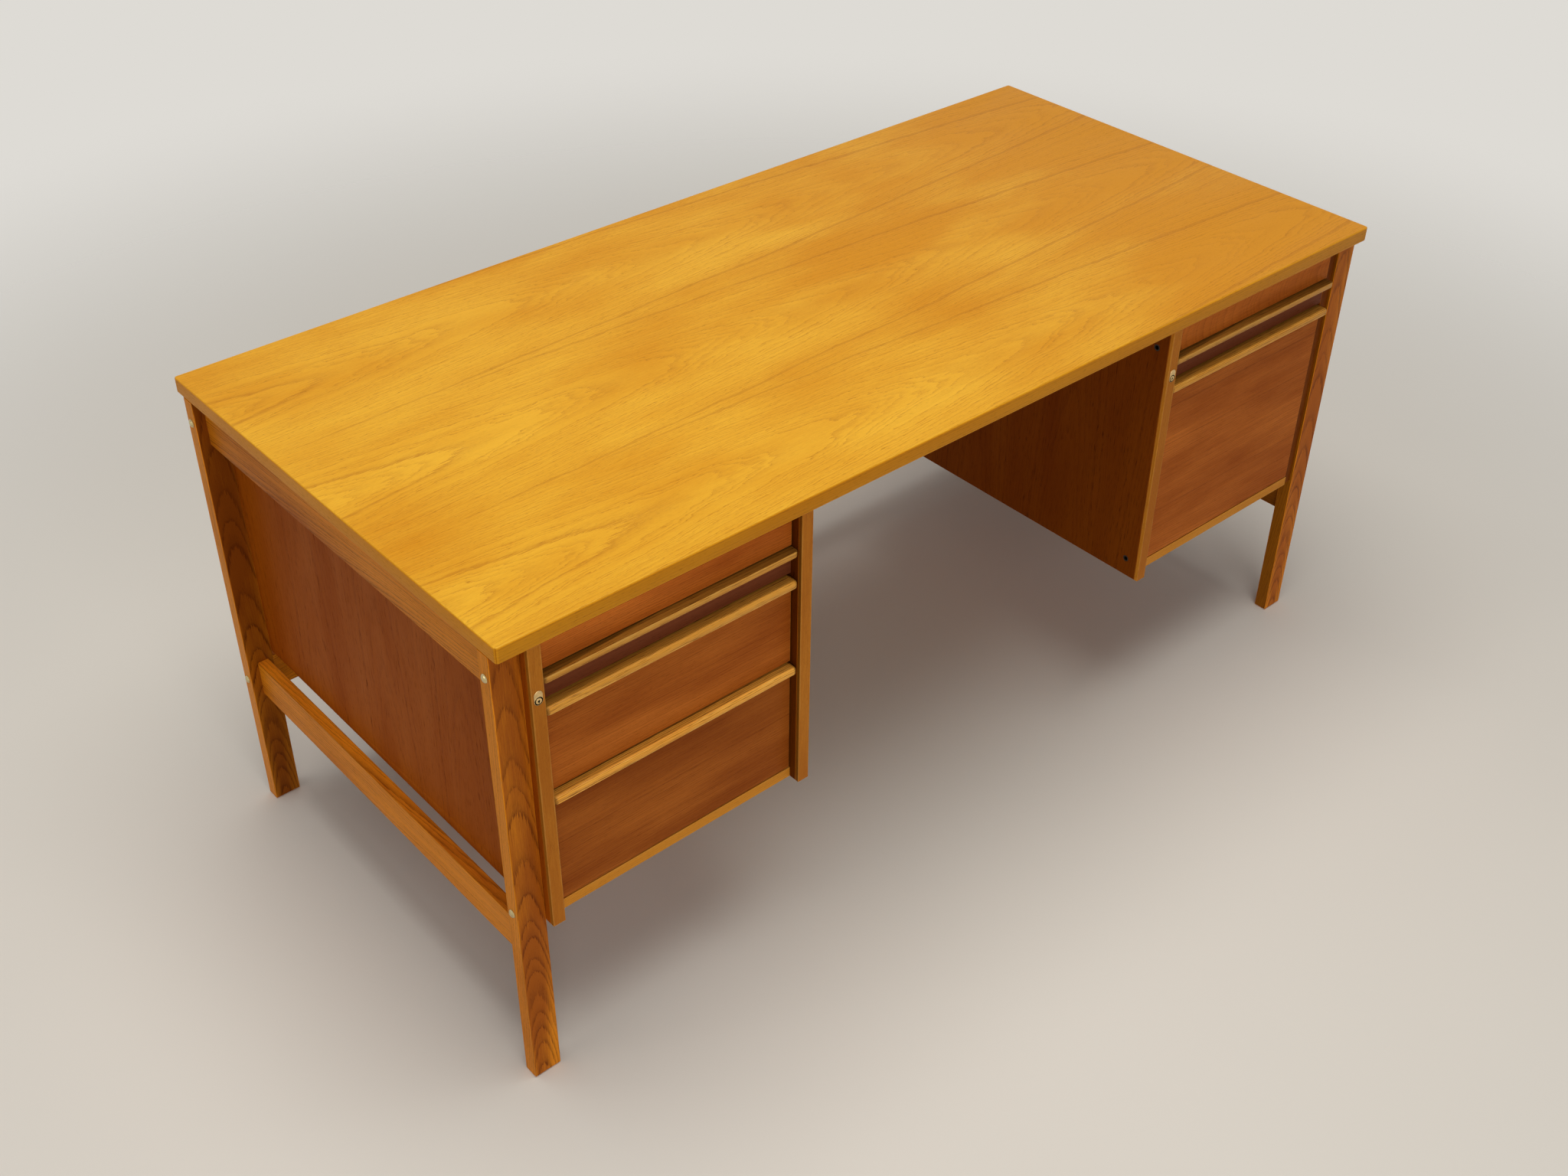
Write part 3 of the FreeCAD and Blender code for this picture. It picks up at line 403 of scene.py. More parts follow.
    tone = add(tree, MATH, {0: fibre, 1: 0.9, 2: 0.05 - 0.5 * look["blotch"]}, operation="MULTIPLY_ADD")
    tone = add(tree, MATH, {0: patch, 1: look["blotch"], 2: tone}, operation="MULTIPLY_ADD")
    if look["flat"]:
        flat = add(tree, REMAP, {"Value": steep, 1: 0.25, 2: 0.8, 3: look["flat"], 4: -look["flat"]})
        tone = add(tree, MATH, {0: tone, 1: flat}, operation="ADD")
    # Painted shade: the tone deepens towards the board's far end along its grain, the +X end of the top.
    if look["far_shade"]:
        far_end_shade = add(tree, REMAP, {"Value": lengthwise, 1: -0.1, 2: 0.8, 3: 0, 4: look["far_shade"]})
        tone = add(tree, MATH, {0: tone, 1: far_end_shade}, operation="ADD")
    tone = add(tree, MATH, {0: tone, 1: 0.0}, operation="ADD", use_clamp=True)
    line_share = add(tree, MATH, {0: lines, 1: look["line"]}, operation="MULTIPLY")
    pore_share = add(tree, MATH, {0: pores, 1: look["pore"]}, operation="MULTIPLY")
    colour = light
    for share, over in ((tone, deep), (line_share, line), (pore_share, pore)):
        colour = add(tree, MIX, {0: share, 6: colour, 7: over}, data_type="RGBA")

    # An arris is where the second nearest face of the board is close. It is rubbed in patches, not all along.
    low = add(tree, MATH, {0: gap["X"], 1: gap["Y"]}, operation="MINIMUM")
    high = add(tree, MATH, {0: gap["X"], 1: gap["Y"]}, operation="MAXIMUM")
    high = add(tree, MATH, {0: high, 1: gap["Z"]}, operation="MINIMUM")
    to_arris = add(tree, MATH, {0: low, 1: high}, operation="MAXIMUM")
    ragged = add(tree, MATH, {0: rubbed, 1: -5 * MM, 2: 2.4 * MM}, operation="MULTIPLY_ADD")
    edge = add(tree, MATH, {0: to_arris, 1: ragged}, operation="ADD")
    edge = add(tree, REMAP, {"Value": edge, 1: 0.3 * MM, 2: 1.8 * MM, 3: look["wear"], 4: 0},
               interpolation_type="SMOOTHSTEP")
    colour = add(tree, MIX, {0: edge, 6: colour, 7: worn}, data_type="RGBA")
    # Each point's tone: the board's own, times the painted light or shade that some faces get.
    each = add(tree, ATTRIBUTE, attribute_name=TONE).outputs["Fac"]
    colour = add(tree, VECTOR_MATH, {0: colour, "Scale": each}, operation="SCALE").outputs["Vector"]

    gloss = look["gloss"]
    sheen = add(tree, REMAP, {"Value": patch, 1: 0.3, 2: 0.7, 3: gloss - 0.04, 4: gloss + 0.06})
    sheen = add(tree, MATH, {0: pores, 1: 0.22, 2: sheen}, operation="MULTIPLY_ADD")
    relief = add(tree, MATH, {0: pores, 1: -0.8, 2: fibre}, operation="MULTIPLY_ADD")
    relief = add(tree, MATH, {0: lines, 1: -0.6, 2: relief}, operation="MULTIPLY_ADD")
    bump = add(tree, "ShaderNodeBump", {"Strength": 0.5, "Distance": 0.15 * MM, "Height": relief})
    surface = add(tree, "ShaderNodeBsdfPrincipled", {
        "Base Color": colour, "Roughness": sheen, "Normal": bump, "IOR": 1.5,
        "Specular IOR Level": look["shine"]})
    add(tree, "ShaderNodeOutputMaterial", {"Surface": surface})
    return material


def metal(slot, colours):
    """Plated metal, bright but handled. The eye sees sharp reflections, hazed by fine scratches and by
    dull patches."""
    look = METALS[slot]
    material, tree = blank_material(look["name"])
    at = add(tree, "ShaderNodeTexCoord").outputs["Object"]
    # Scratches are drawn at 0.4 mm, wider than real ones, so that they show.
    spread = add(tree, "ShaderNodeMapping", {
        "Vector": at, "Rotation": (0.4, 0.7, 0.3), "Scale": per_mm(6, 0.4, 0.4)})
    scratch = add(tree, NOISE, {"Vector": spread, "Scale": 1, "Detail": 2}).outputs["Fac"]
    haze = add(tree, NOISE, {"Vector": at, "Scale": per_mm(5)[0], "Detail": 3}).outputs["Fac"]
    base = rgba(getattr(colours, slot))
    dull = rgba([part * 0.62 for part in base[:3]])
    share = add(tree, REMAP, {"Value": haze, 1: 0.42, 2: 0.72, 3: 0, 4: 0.6})
    colour = add(tree, MIX, {0: share, 6: base, 7: dull}, data_type="RGBA")
    # The points' tones paint shade into the lock's gaps and keyhole.
    if look["toned"]:
        each = add(tree, ATTRIBUTE, attribute_name=TONE).outputs["Fac"]
        colour = add(tree, VECTOR_MATH, {0: colour, "Scale": each}, operation="SCALE").outputs["Vector"]
    rough = add(tree, MATH, {0: haze, 1: 0.22, 2: look["rough"] - 0.11}, operation="MULTIPLY_ADD")
    bump = add(tree, "ShaderNodeBump", {
        "Strength": look["scratch"] * 0.4, "Distance": 0.03 * MM, "Height": scratch})
    surface = add(tree, "ShaderNodeBsdfPrincipled", {
        "Base Color": colour, "Metallic": 1.0, "Roughness": rough, "Normal": bump})
    add(tree, "ShaderNodeOutputMaterial", {"Surface": surface})
    return material


def finish(slot):
    """The material of one of the record's slots, made the first time that a piece asks for it."""
    look = WOODS.get(slot) or METALS[slot]
    made = bpy.data.materials.get(look["name"])
    if made is None:
        colours = bpy.context.scene.desk_colours
        made = wood(slot, colours) if slot in WOODS else metal(slot, colours)
    return made


# ---------------------------------------------------------------- boards
def new_boards():
    """An empty mesh with the layers that say where each board's points lie in it and in the log."""
    bm = bmesh.new()
    for layer in (PLACE, HALF, CUT):
        bm.verts.layers.float_vector.new(layer)
    for layer in (TONE, LEAN):
        bm.verts.layers.float.new(layer)
    return bm


def extent(points):
    """The low and high corner of the box round some points."""
    return [Vector([end(point[axis] for point in points) for axis in range(3)]) for end in (min, max)]


def crown(kind, stray=6):
    """A cut along the log beside its pith, whose face shows arched rings."""
    return Vector((CUTS.uniform(*LOG), CUTS.uniform(-stray, stray) * MM, FROM_PITH[kind] * MM))


def rift(kind, stray=30, deep=(10, 40)):
    """A cut across the rings, whose face shows straight lines."""
    off = FROM_PITH[kind]
    return Vector((CUTS.uniform(*LOG), (off + CUTS.uniform(-stray, stray)) * MM, CUTS.uniform(*deep) * MM))


def slanting(kind, stray=10):
    """A cut that meets the rings at about 45 degrees, with straight lines on all faces."""
    off = FROM_PITH[kind]
    return Vector((CUTS.uniform(*LOG), (off + CUTS.uniform(-stray, stray)) * MM, off * MM))


def stamp(bm, verts, cut, grain=None, tone=1.0):
    """Writes to a board's points their place along, across and through it, its half sizes, cut and tone.
    Without a grain axis, the grain runs along the board's longest side."""
    low, high = extent([v.co for v in verts])
    size, middle = high - low, (high + low) / 2
    if grain is None:
        grain = max(range(3), key=lambda axis: size[axis])
    order = (grain, *sorted((axis for axis in range(3) if axis != grain), key=lambda axis: -size[axis]))
    place, half, cuts = (bm.verts.layers.float_vector[layer] for layer in (PLACE, HALF, CUT))
    tones = bm.verts.layers.float[TONE]
    tone *= CUTS.uniform(*BOARD_TONES)
    for v in verts:
        v[place] = Vector([v.co[axis] - middle[axis] for axis in order])
        v[half] = Vector([size[axis] / 2 for axis in order])
        v[cuts] = cut
        v[tones] = tone


def shade_face(bm, axis, at, tone):
    """Paints light or shade into the flat face of a board that lies at a place on an axis, by changing its
    tone.
    """
    tones = bm.verts.layers.float[TONE]
    for v in bm.verts:
        if abs(v.co[axis] - at) < TOUCH:
            v[tones] *= tone


def round_edges(bm, edges, radius, segments=4):
    made = bmesh.ops.bevel(bm, geom=list(edges), offset=radius, segments=segments, profile=0.5,
                           affect="EDGES", clamp_overlap=True)
    for face in made["faces"]:
        face.smooth = True


def along(edge, axis):
    """Whether an edge runs straight along an axis."""
    run = edge.verts[1].co - edge.verts[0].co
    return abs(run[axis]) > 0.999 * run.length


def block(bm, low, high):
    """A plain block in the mesh. Returns its points."""
    size, middle = high - low, (high + low) / 2
    matrix = Matrix.Translation(middle) @ Matrix.Diagonal((*size, 1))
    return bmesh.ops.create_cube(bm, size=1, matrix=matrix)["verts"]


def edges_of(verts):
    """The edges at these points, in an order that is the same in every run, unlike a set's."""
    return list(dict.fromkeys(edge for v in verts for edge in v.link_edges))


def faces_of(verts):
    return list(dict.fromkeys(face for v in verts for face in v.link_faces))


def new_points(bm, before):
    return [v for v in bm.verts if v not in before]


def board(bm, low, high, cut, radius, grain=None, axes=(X, Y, Z), tone=1.0):
    """A board with its edges along the given axes rounded."""
    before = set(bm.verts)
    verts = block(bm, Vector(low), Vector(high))
    round_edges(bm, [e for e in edges_of(verts) if any(along(e, axis) for axis in axes)], radius)
    stamp(bm, new_points(bm, before), cut, grain, tone)


def prism(bm, outline, low, high, lift):
    """A flat outline of points in two axes, raised along the third. lift makes a point from all three."""
    base = [bm.verts.new(lift(a, b, low)) for a, b in outline]
    lid = [bm.verts.new(lift(a, b, high)) for a, b in outline]
    bm.faces.new(base)
    bm.faces.new(lid)
    for i in range(len(outline)):
        j = (i + 1) % len(outline)
        bm.faces.new((base[i], base[j], lid[j], lid[i]))
    bmesh.ops.recalc_face_normals(bm, faces=faces_of(base + lid))
    return base, lid


def islands(verts):
    """The separate boards among these points, in the points' own order."""
    seen, found = set(), []
    for first in verts:
        if first in seen:
            continue
        group = [first]
        seen.add(first)
        for v in group:
            fresh = [e.other_vert(v) for e in v.link_edges if e.other_vert(v) not in seen]
            seen.update(fresh)
            group.extend(fresh)
        found.append(group)
    return found


def joinery(bm, node, radius, cut_of, grain=None):
    """A CAD node's own boards, with their holes, and with the arrises of each board rounded.
    cut_of gives a board's cut from its size."""
    before = set(bm.verts)
    bm.from_mesh(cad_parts[node].data)
    verts = new_points(bm, before)
    bmesh.ops.remove_doubles(bm, verts=verts, dist=WELD)
    verts = new_points(bm, before)
    bmesh.ops.dissolve_limit(bm, angle_limit=math.radians(0.2), verts=verts, edges=edges_of(verts))
    for group in islands(new_points(bm, before)):
        low, high = extent([v.co for v in group])
        def faces_met(v):
            return {(axis, end) for axis in range(3) for end, at in enumerate((low[axis], high[axis]))
                    if abs(v.co[axis] - at) < TOUCH}
        arrises = [e for e in edges_of(group) if len(faces_met(e.verts[0]) & faces_met(e.verts[1])) == 2]
        known = set(bm.verts) - set(group)
        round_edges(bm, arrises, radius, segments=3)
        stamp(bm, new_points(bm, known), cut_of(high - low), grain)


def piece(name, bm, body, slot, *nodes):
    """Makes a mesh into a finished piece that rides on a body and stands for CAD nodes."""
    mesh = bpy.data.meshes.new(name)
    bm.to_mesh(mesh)
    bm.free()
    dress(name, mesh, body, slot, *nodes)


def dress(name, mesh, body, slot, *nodes):
    mesh.materials.clear()
    mesh.materials.append(finish(slot))
    thing = bpy.data.objects.new(name, mesh)
    bpy.context.scene.collection.objects.link(thing)
    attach(thing, body)
    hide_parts(*nodes)


def jointed_piece(name, node, body, slot, radius, cut_of, grain=None, shades=()):
    """A piece of a CAD node's own boards. Each shade is painted into a face's colour: an axis, the place of
    the face on it, and its tone.
    """
    bm = new_boards()
    joinery(bm, node, radius, cut_of, grain)
    for axis, at, tone in shades:
        shade_face(bm, axis, at, tone)
    piece(name, bm, body, slot, node)


def arc(centre, radius, start, end, steps):
    """Points on a circle, from one angle to another in degrees."""
    angles = [math.radians(start + (end - start) * i / steps) for i in range(steps + 1)]
    return [(centre[0] + radius * math.cos(a), centre[1] + radius * math.sin(a)) for a in angles]


def inner_x(low, high):
    """Where a board's face towards the middle of the desk lies."""
    return low.x if low.x > 0 else high.x


# ---------------------------------------------------------------- pieces
class DESK_OT_top(bpy.types.Operator):
    """Makes the veneered panel of the top and the mitred lippings round it"""
    bl_idname = "desk.top"
    bl_label = "Top"

    def execute(self, context):
        sizes = context.scene.desk_sizes
        low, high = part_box("desktop_panel")
        outer_low, outer_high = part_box("desktop_long_lippings")
        half = (outer_high - outer_low) / 2
        under_veneer = high.z - sizes.veneer
        arris = sizes.top_arris
        lies = math.degrees(math.asin(1 - sizes.veneer / arris))
        rim = self.rounding(arris, high.z, lies, 90)
        bm = new_boards()
        board(bm, low, (high.x, high.y, under_veneer), TOP_CUT, CORE_ARRIS, X)
        self.sheet(bm, half, sizes.top_corner, rim)
        piece("top_panel_veneered", bm, "frame", "top_veneer", "desktop_panel")

        underside = reversed(self.rounding(arris, low.z + arris, 0, 90))
        edge = [(inset, 2 * low.z + arris - z) for inset, z in underside]
        edge += self.rounding(arris, high.z, 0, lies)
        for name, node, reach, depth, turn in (
                ("top_long_lippings_mitred", "desktop_long_lippings", half.x, half.y, 0),
                ("top_end_lippings_mitred", "desktop_end_lippings", half.y, half.x, 90)):
            bm = new_boards()
            for angle in (turn, turn + 180):
                self.lipping(bm, sizes, reach, depth, edge, angle)
            # Painted shade on the front face of the front lipping.
            if node == "desktop_long_lippings":
                shade_face(bm, Y, -half.y, FRONT_LIPPING_PAINTED_SHADE)
            piece(name, bm, "frame", "top_lipping", node)
        return {"FINISHED"}

    def rounding(self, radius, top_z, start, end):
        """Steps round a rounded edge: how far in from the outline, and how high."""
        return [(radius - across, top_z - radius + up) for across, up in arc((0, 0), radius, start, end, 5)]

    def stack(self, bm, outlines):
        """Joins outlines of equal count, from the lowest up, and closes both ends."""
        before = set(bm.verts)
        rings = [[bm.verts.new(point) for point in outline] for outline in outlines]
        for lower, upper in zip(rings, rings[1:]):
            for i in range(len(lower)):
                j = (i + 1) % len(lower)
                bm.faces.new((lower[i], lower[j], upper[j], upper[i])).smooth = len(rings) > 2
        bm.faces.new(rings[0])
        bm.faces.new(rings[-1])
        made = new_points(bm, before)
        bmesh.ops.recalc_face_normals(bm, faces=faces_of(made))
        return made

    def sheet(self, bm, half, corner, rim):
        """The face veneer, laid over panel and lippings right up to the rounded edge."""
        def outline(inset, z):
            ring = []
            for start, x, y in ((0, 1, 1), (90, -1, 1), (180, -1, -1), (270, 1, -1)):
                centre = (x * (half.x - corner), y * (half.y - corner))
                ring += [(a, b, z) for a, b in arc(centre, corner - inset, start, start + 90, 6)]
            return ring
        stamp(bm, self.stack(bm, [outline(inset, z) for inset, z in rim]), TOP_CUT, X)

    def lipping(self, bm, sizes, reach, depth, edge, angle):
        """One strip along -Y, turned by an angle about Z. Its ends are cut at 45 degrees."""
        width, corner, gap = sizes.lipping_width, sizes.top_corner, sizes.mitre_gap / 2
        turn = Matrix.Rotation(math.radians(angle), 3, "Z")
        def outline(inset, z):
            radius, centre_x, centre_y = corner - inset, reach - corner, corner - depth
            ring = [(x + gap, y) for x, y in arc((-centre_x, centre_y), radius, 225, 270, 4)]
            ring += [(x - gap, y) for x, y in arc((centre_x, centre_y), radius, 270, 315, 4)]
            ring += [(reach - width - gap, width - depth), (width + gap - reach, width - depth)]
            return [turn @ Vector((x, y, z)) for x, y in ring]
        stamp(bm, self.stack(bm, [outline(inset, z) for inset, z in edge]), rift("top lipping"))


class DESK_OT_end_frames(bpy.types.Operator):
    """Makes the legs, and the rails and stretchers that join them"""
    bl_idname = "desk.end_frames"
    bl_label = "End frames and rails"

    def execute(self, context):
        sizes = context.scene.desk_sizes
        for side in SIDES:
            for which in ("front", "rear"):
                self.leg(f"{side}_{which}_leg", sizes)
            for which in ("top_rail", "stretcher"):
                node = f"{side}_{which}"
                low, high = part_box(node)
                bm = new_boards()
                board(bm, low, high, slanting("rail"), sizes.leg_arris, Y, axes=(Y,))
                # Painted light on the rail's top face, and painted shade on its face towards the middle of
                # the desk.
                shade_face(bm, Z, high.z, STRETCHER_PAINTED_LIGHT)
                shade_face(bm, X, inner_x(low, high), INNER_PAINTED_SHADE)
                piece(f"{node}_board", bm, "frame", "frame_wood", node)
        for node in ("rear_top_rail", "rear_stretcher"):
            jointed_piece(f"{node}_board", node, "frame", "frame_wood", sizes.leg_arris,
                          lambda size: slanting("rail"), X)
        return {"FINISHED"}

    def leg(self, node, sizes):
        low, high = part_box(node)
        bm = new_boards()
        verts = block(bm, low, high)
        sole = [e for e in edges_of(verts) if all(v.co.z < low.z + TOUCH for v in e.verts)]
        bmesh.ops.bevel(bm, geom=sole, offset=sizes.foot_chamfer, segments=1, affect="EDGES",
                        clamp_overlap=True)
        round_edges(bm, [e for e in bm.edges if along(e, Z)], sizes.leg_arris)
        stamp(bm, bm.verts[:], crown("leg"), Z, LEG_TONES[node])
        # Painted shade on the leg's face towards the middle of the desk, and on the front of a rear leg.
        shade_face(bm, X, inner_x(low, high), INNER_PAINTED_SHADE)
        if low.y > 0:
            shade_face(bm, Y, low.y, REAR_PAINTED_SHADE)
        piece(f"{node}_shaped", bm, "frame", "frame_wood", node)


class DESK_OT_pedestals(bpy.types.Operator):
    """Makes the fixed boards of the two pedestals"""
    bl_idname = "desk.pedestals"
    bl_label = "Pedestals"

    def execute(self, context):
        sizes = context.scene.desk_sizes
        for side in SIDES:
            for which in ("lock_side", "plain_side"):
                node = f"{side}_pedestal_{which}"
                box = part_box(node)
                # Painted shade on the faces of this side that SIDE_SHADES lists.
                shades = [(axis, box[end][axis], tone) for axis, end, tone in SIDE_SHADES.get(node, ())]
                jointed_piece(f"{node}_panel", node, "frame", "pedestal_veneer", sizes.panel_arris,
                              lambda size: crown("panel"), Z, shades)
            node = f"{side}_pedestal_lippings"
            shades = ()
            # Painted shade on the left pedestal's lippings: on the side by the leg, and on the side towards
            # the drawers.
            if side == "left":
                shades = ((X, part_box(node)[0].x, LIPPING_SIDE_PAINTED_SHADE),
                          (X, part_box("left_pedestal_plain_side")[0].x, INNER_PAINTED_SHADE))
            jointed_piece(f"{node}_eased", node, "frame", "pedestal_lipping", sizes.panel_arris,
                          lambda size: rift("level lipping") if size.x > size.z else crown("upright lipping"),
                          shades=shades)
            for what, slot, grain, cut in (
                    ("pedestal_bottom", "pedestal_veneer", X, crown("panel")),
                    ("pedestal_back", "plywood", Z, crown("sheet")),
                    ("gap_rail", "dark_wood", X, rift("gap rail"))):
                node = f"{side}_{what}"
                bm = new_boards()
                board(bm, *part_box(node), cut, sizes.panel_arris, grain)
                piece(f"{node}_board", bm, "frame", slot, node)
            for what in ("pedestal_braces", "drawer_runners"):
                node = f"{side}_{what}"
                jointed_piece(f"{node}_strips", node, "frame", "box_wood", sizes.panel_arris,
                              lambda size: rift("strip"))
        return {"FINISHED"}


class DESK_OT_drawers(bpy.types.Operator):
    """Makes the drawers: fronts, grips, boxes and bottoms"""
    bl_idname = "desk.drawers"
    bl_label = "Drawers"

    def execute(self, context):
        sizes = context.scene.desk_sizes
        for name in DRAWERS:
            bm = new_boards()
            flamed = name == FLAMED_DRAWER
            cut = crown("flamed front") if flamed else rift("front")
            board(bm, *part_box(f"{name}_front"), cut, sizes.front_arris, X, tone=FRONT_TONES[name])
            if flamed:
                for v in bm.verts:
                    v[bm.verts.layers.float[LEAN]] = FLAMED_LEAN
            piece(f"{name}_front_board", bm, name, "drawer_veneer", f"{name}_front")
            bm = new_boards()
            self.grip(bm, name, sizes)
            piece(f"{name}_grip_shaped", bm, name, "grip_wood", f"{name}_handle")
            bm = new_boards()
            self.box(bm, name, sizes)
            piece(f"{name}_box_walls", bm, name, "box_wood", f"{name}_box")
            bm = new_boards()
            board(bm, *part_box(f"{name}_bottom"), crown("sheet"), SHEET_ARRIS, X)
            piece(f"{name}_bottom_sheet", bm, name, "plywood", f"{name}_bottom")
        return {"FINISHED"}

    def grip(self, bm, name, sizes):
        """A strip whose outline is rounded at both ends, with a large rounding along one edge of its nose."""
        low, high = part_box(f"{name}_handle")
        front_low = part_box(f"{name}_front")[0]
        hangs = low.z < front_low.z
        top_z = low.z + sizes.grip_height
        below, above = (sizes.grip_nose, sizes.grip_arris) if hangs else (sizes.grip_arris, sizes.grip_nose)
        # How far in from the outline, and how high, round the nose from below to above.
        profile = [(below - r, low.z + below + z) for r, z in arc((0, 0), below, 270, 360, 6)]
        profile += [(above - r, top_z - above + z) for r, z in arc((0, 0), above, 0, 90, 6)]
        before = set(bm.verts)
        rings = []
        for inset, z in profile:
            left, right, front = low.x + inset, high.x - inset, low.y + inset
            corner = sizes.grip_corner - inset
            outline = [(left, high.y)] + arc((left + corner, front + corner), corner, 180, 270, 6)
            outline += arc((right - corner, front + corner), corner, 270, 360, 6) + [(right, high.y)]
            rings.append([bm.verts.new((x, y, z)) for x, y in outline])
        for lower, upper in zip(rings, rings[1:]):
            for i in range(len(lower) - 1):
                bm.faces.new((lower[i], lower[i + 1], upper[i + 1], upper[i])).smooth = True
        bm.faces.new(rings[0])
        bm.faces.new(rings[-1])
        bm.faces.new([ring[0] for ring in rings] + [ring[-1] for ring in reversed(rings)])
        bmesh.ops.remove_doubles(bm, verts=new_points(bm, before), dist=WELD)
        bmesh.ops.recalc_face_normals(bm, faces=bm.faces[:])
        stamp(bm, new_points(bm, before), rift("grip"), X, GRIP_TONES[name])
        # Painted shade on the grip's top face.
        shade_face(bm, Z, top_z, GRIP_TOP_PAINTED_SHADE)
        tones = bm.verts.layers.float[TONE]
        for v in bm.verts:
            past = sizes.grip_corner - min(v.co.x - low.x, high.x - v.co.x)
            if past > 0:
                v[tones] *= 1 + (GRIP_END_TONE - 1) * min(1, END_STAIN * past / sizes.grip_corner)
        if hangs:
            tongue_y = front_low.y + TONGUE_SET * (high.y - front_low.y)
            board(bm, (low.x, tongue_y, top_z), high, rift("grip"), TONGUE_ARRIS, X)

    def box(self, bm, name, sizes):
        """Two grooved sides and a back between them."""
        low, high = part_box(f"{name}_box")
        wall, deep, rise = sizes.box_wall, sizes.groove_depth, sizes.groove_height / 2
        middle = (low.z + high.z) / 2
        for outer, inward in ((low.x, 1), (high.x, -1)):
            inner, bed = outer + inward * wall, outer + inward * deep
            roof, sill = middle + rise, middle - rise
            outline = [(outer, low.z), (inner, low.z), (inner, high.z), (outer, high.z),
                       (outer, roof), (bed, roof), (bed, sill), (outer, sill)]
            before = set(bm.verts)
            base, lid = prism(bm, outline, low.y, high.y, lambda x, z, y: Vector((x, y, z)))
            rounded = [bm.edges.get((base[i], lid[i])) for i in (0, 1, 2, 3, 4, 7)]
            round_edges(bm, rounded, sizes.box_arris, segments=3)
            stamp(bm, new_points(bm, before), rift("box"), Y)
        board(bm, (low.x + wall, high.y - wall, low.z), (high.x - wall, high.y, high.z), rift("box"),
              sizes.box_arris, X, axes=(X,))


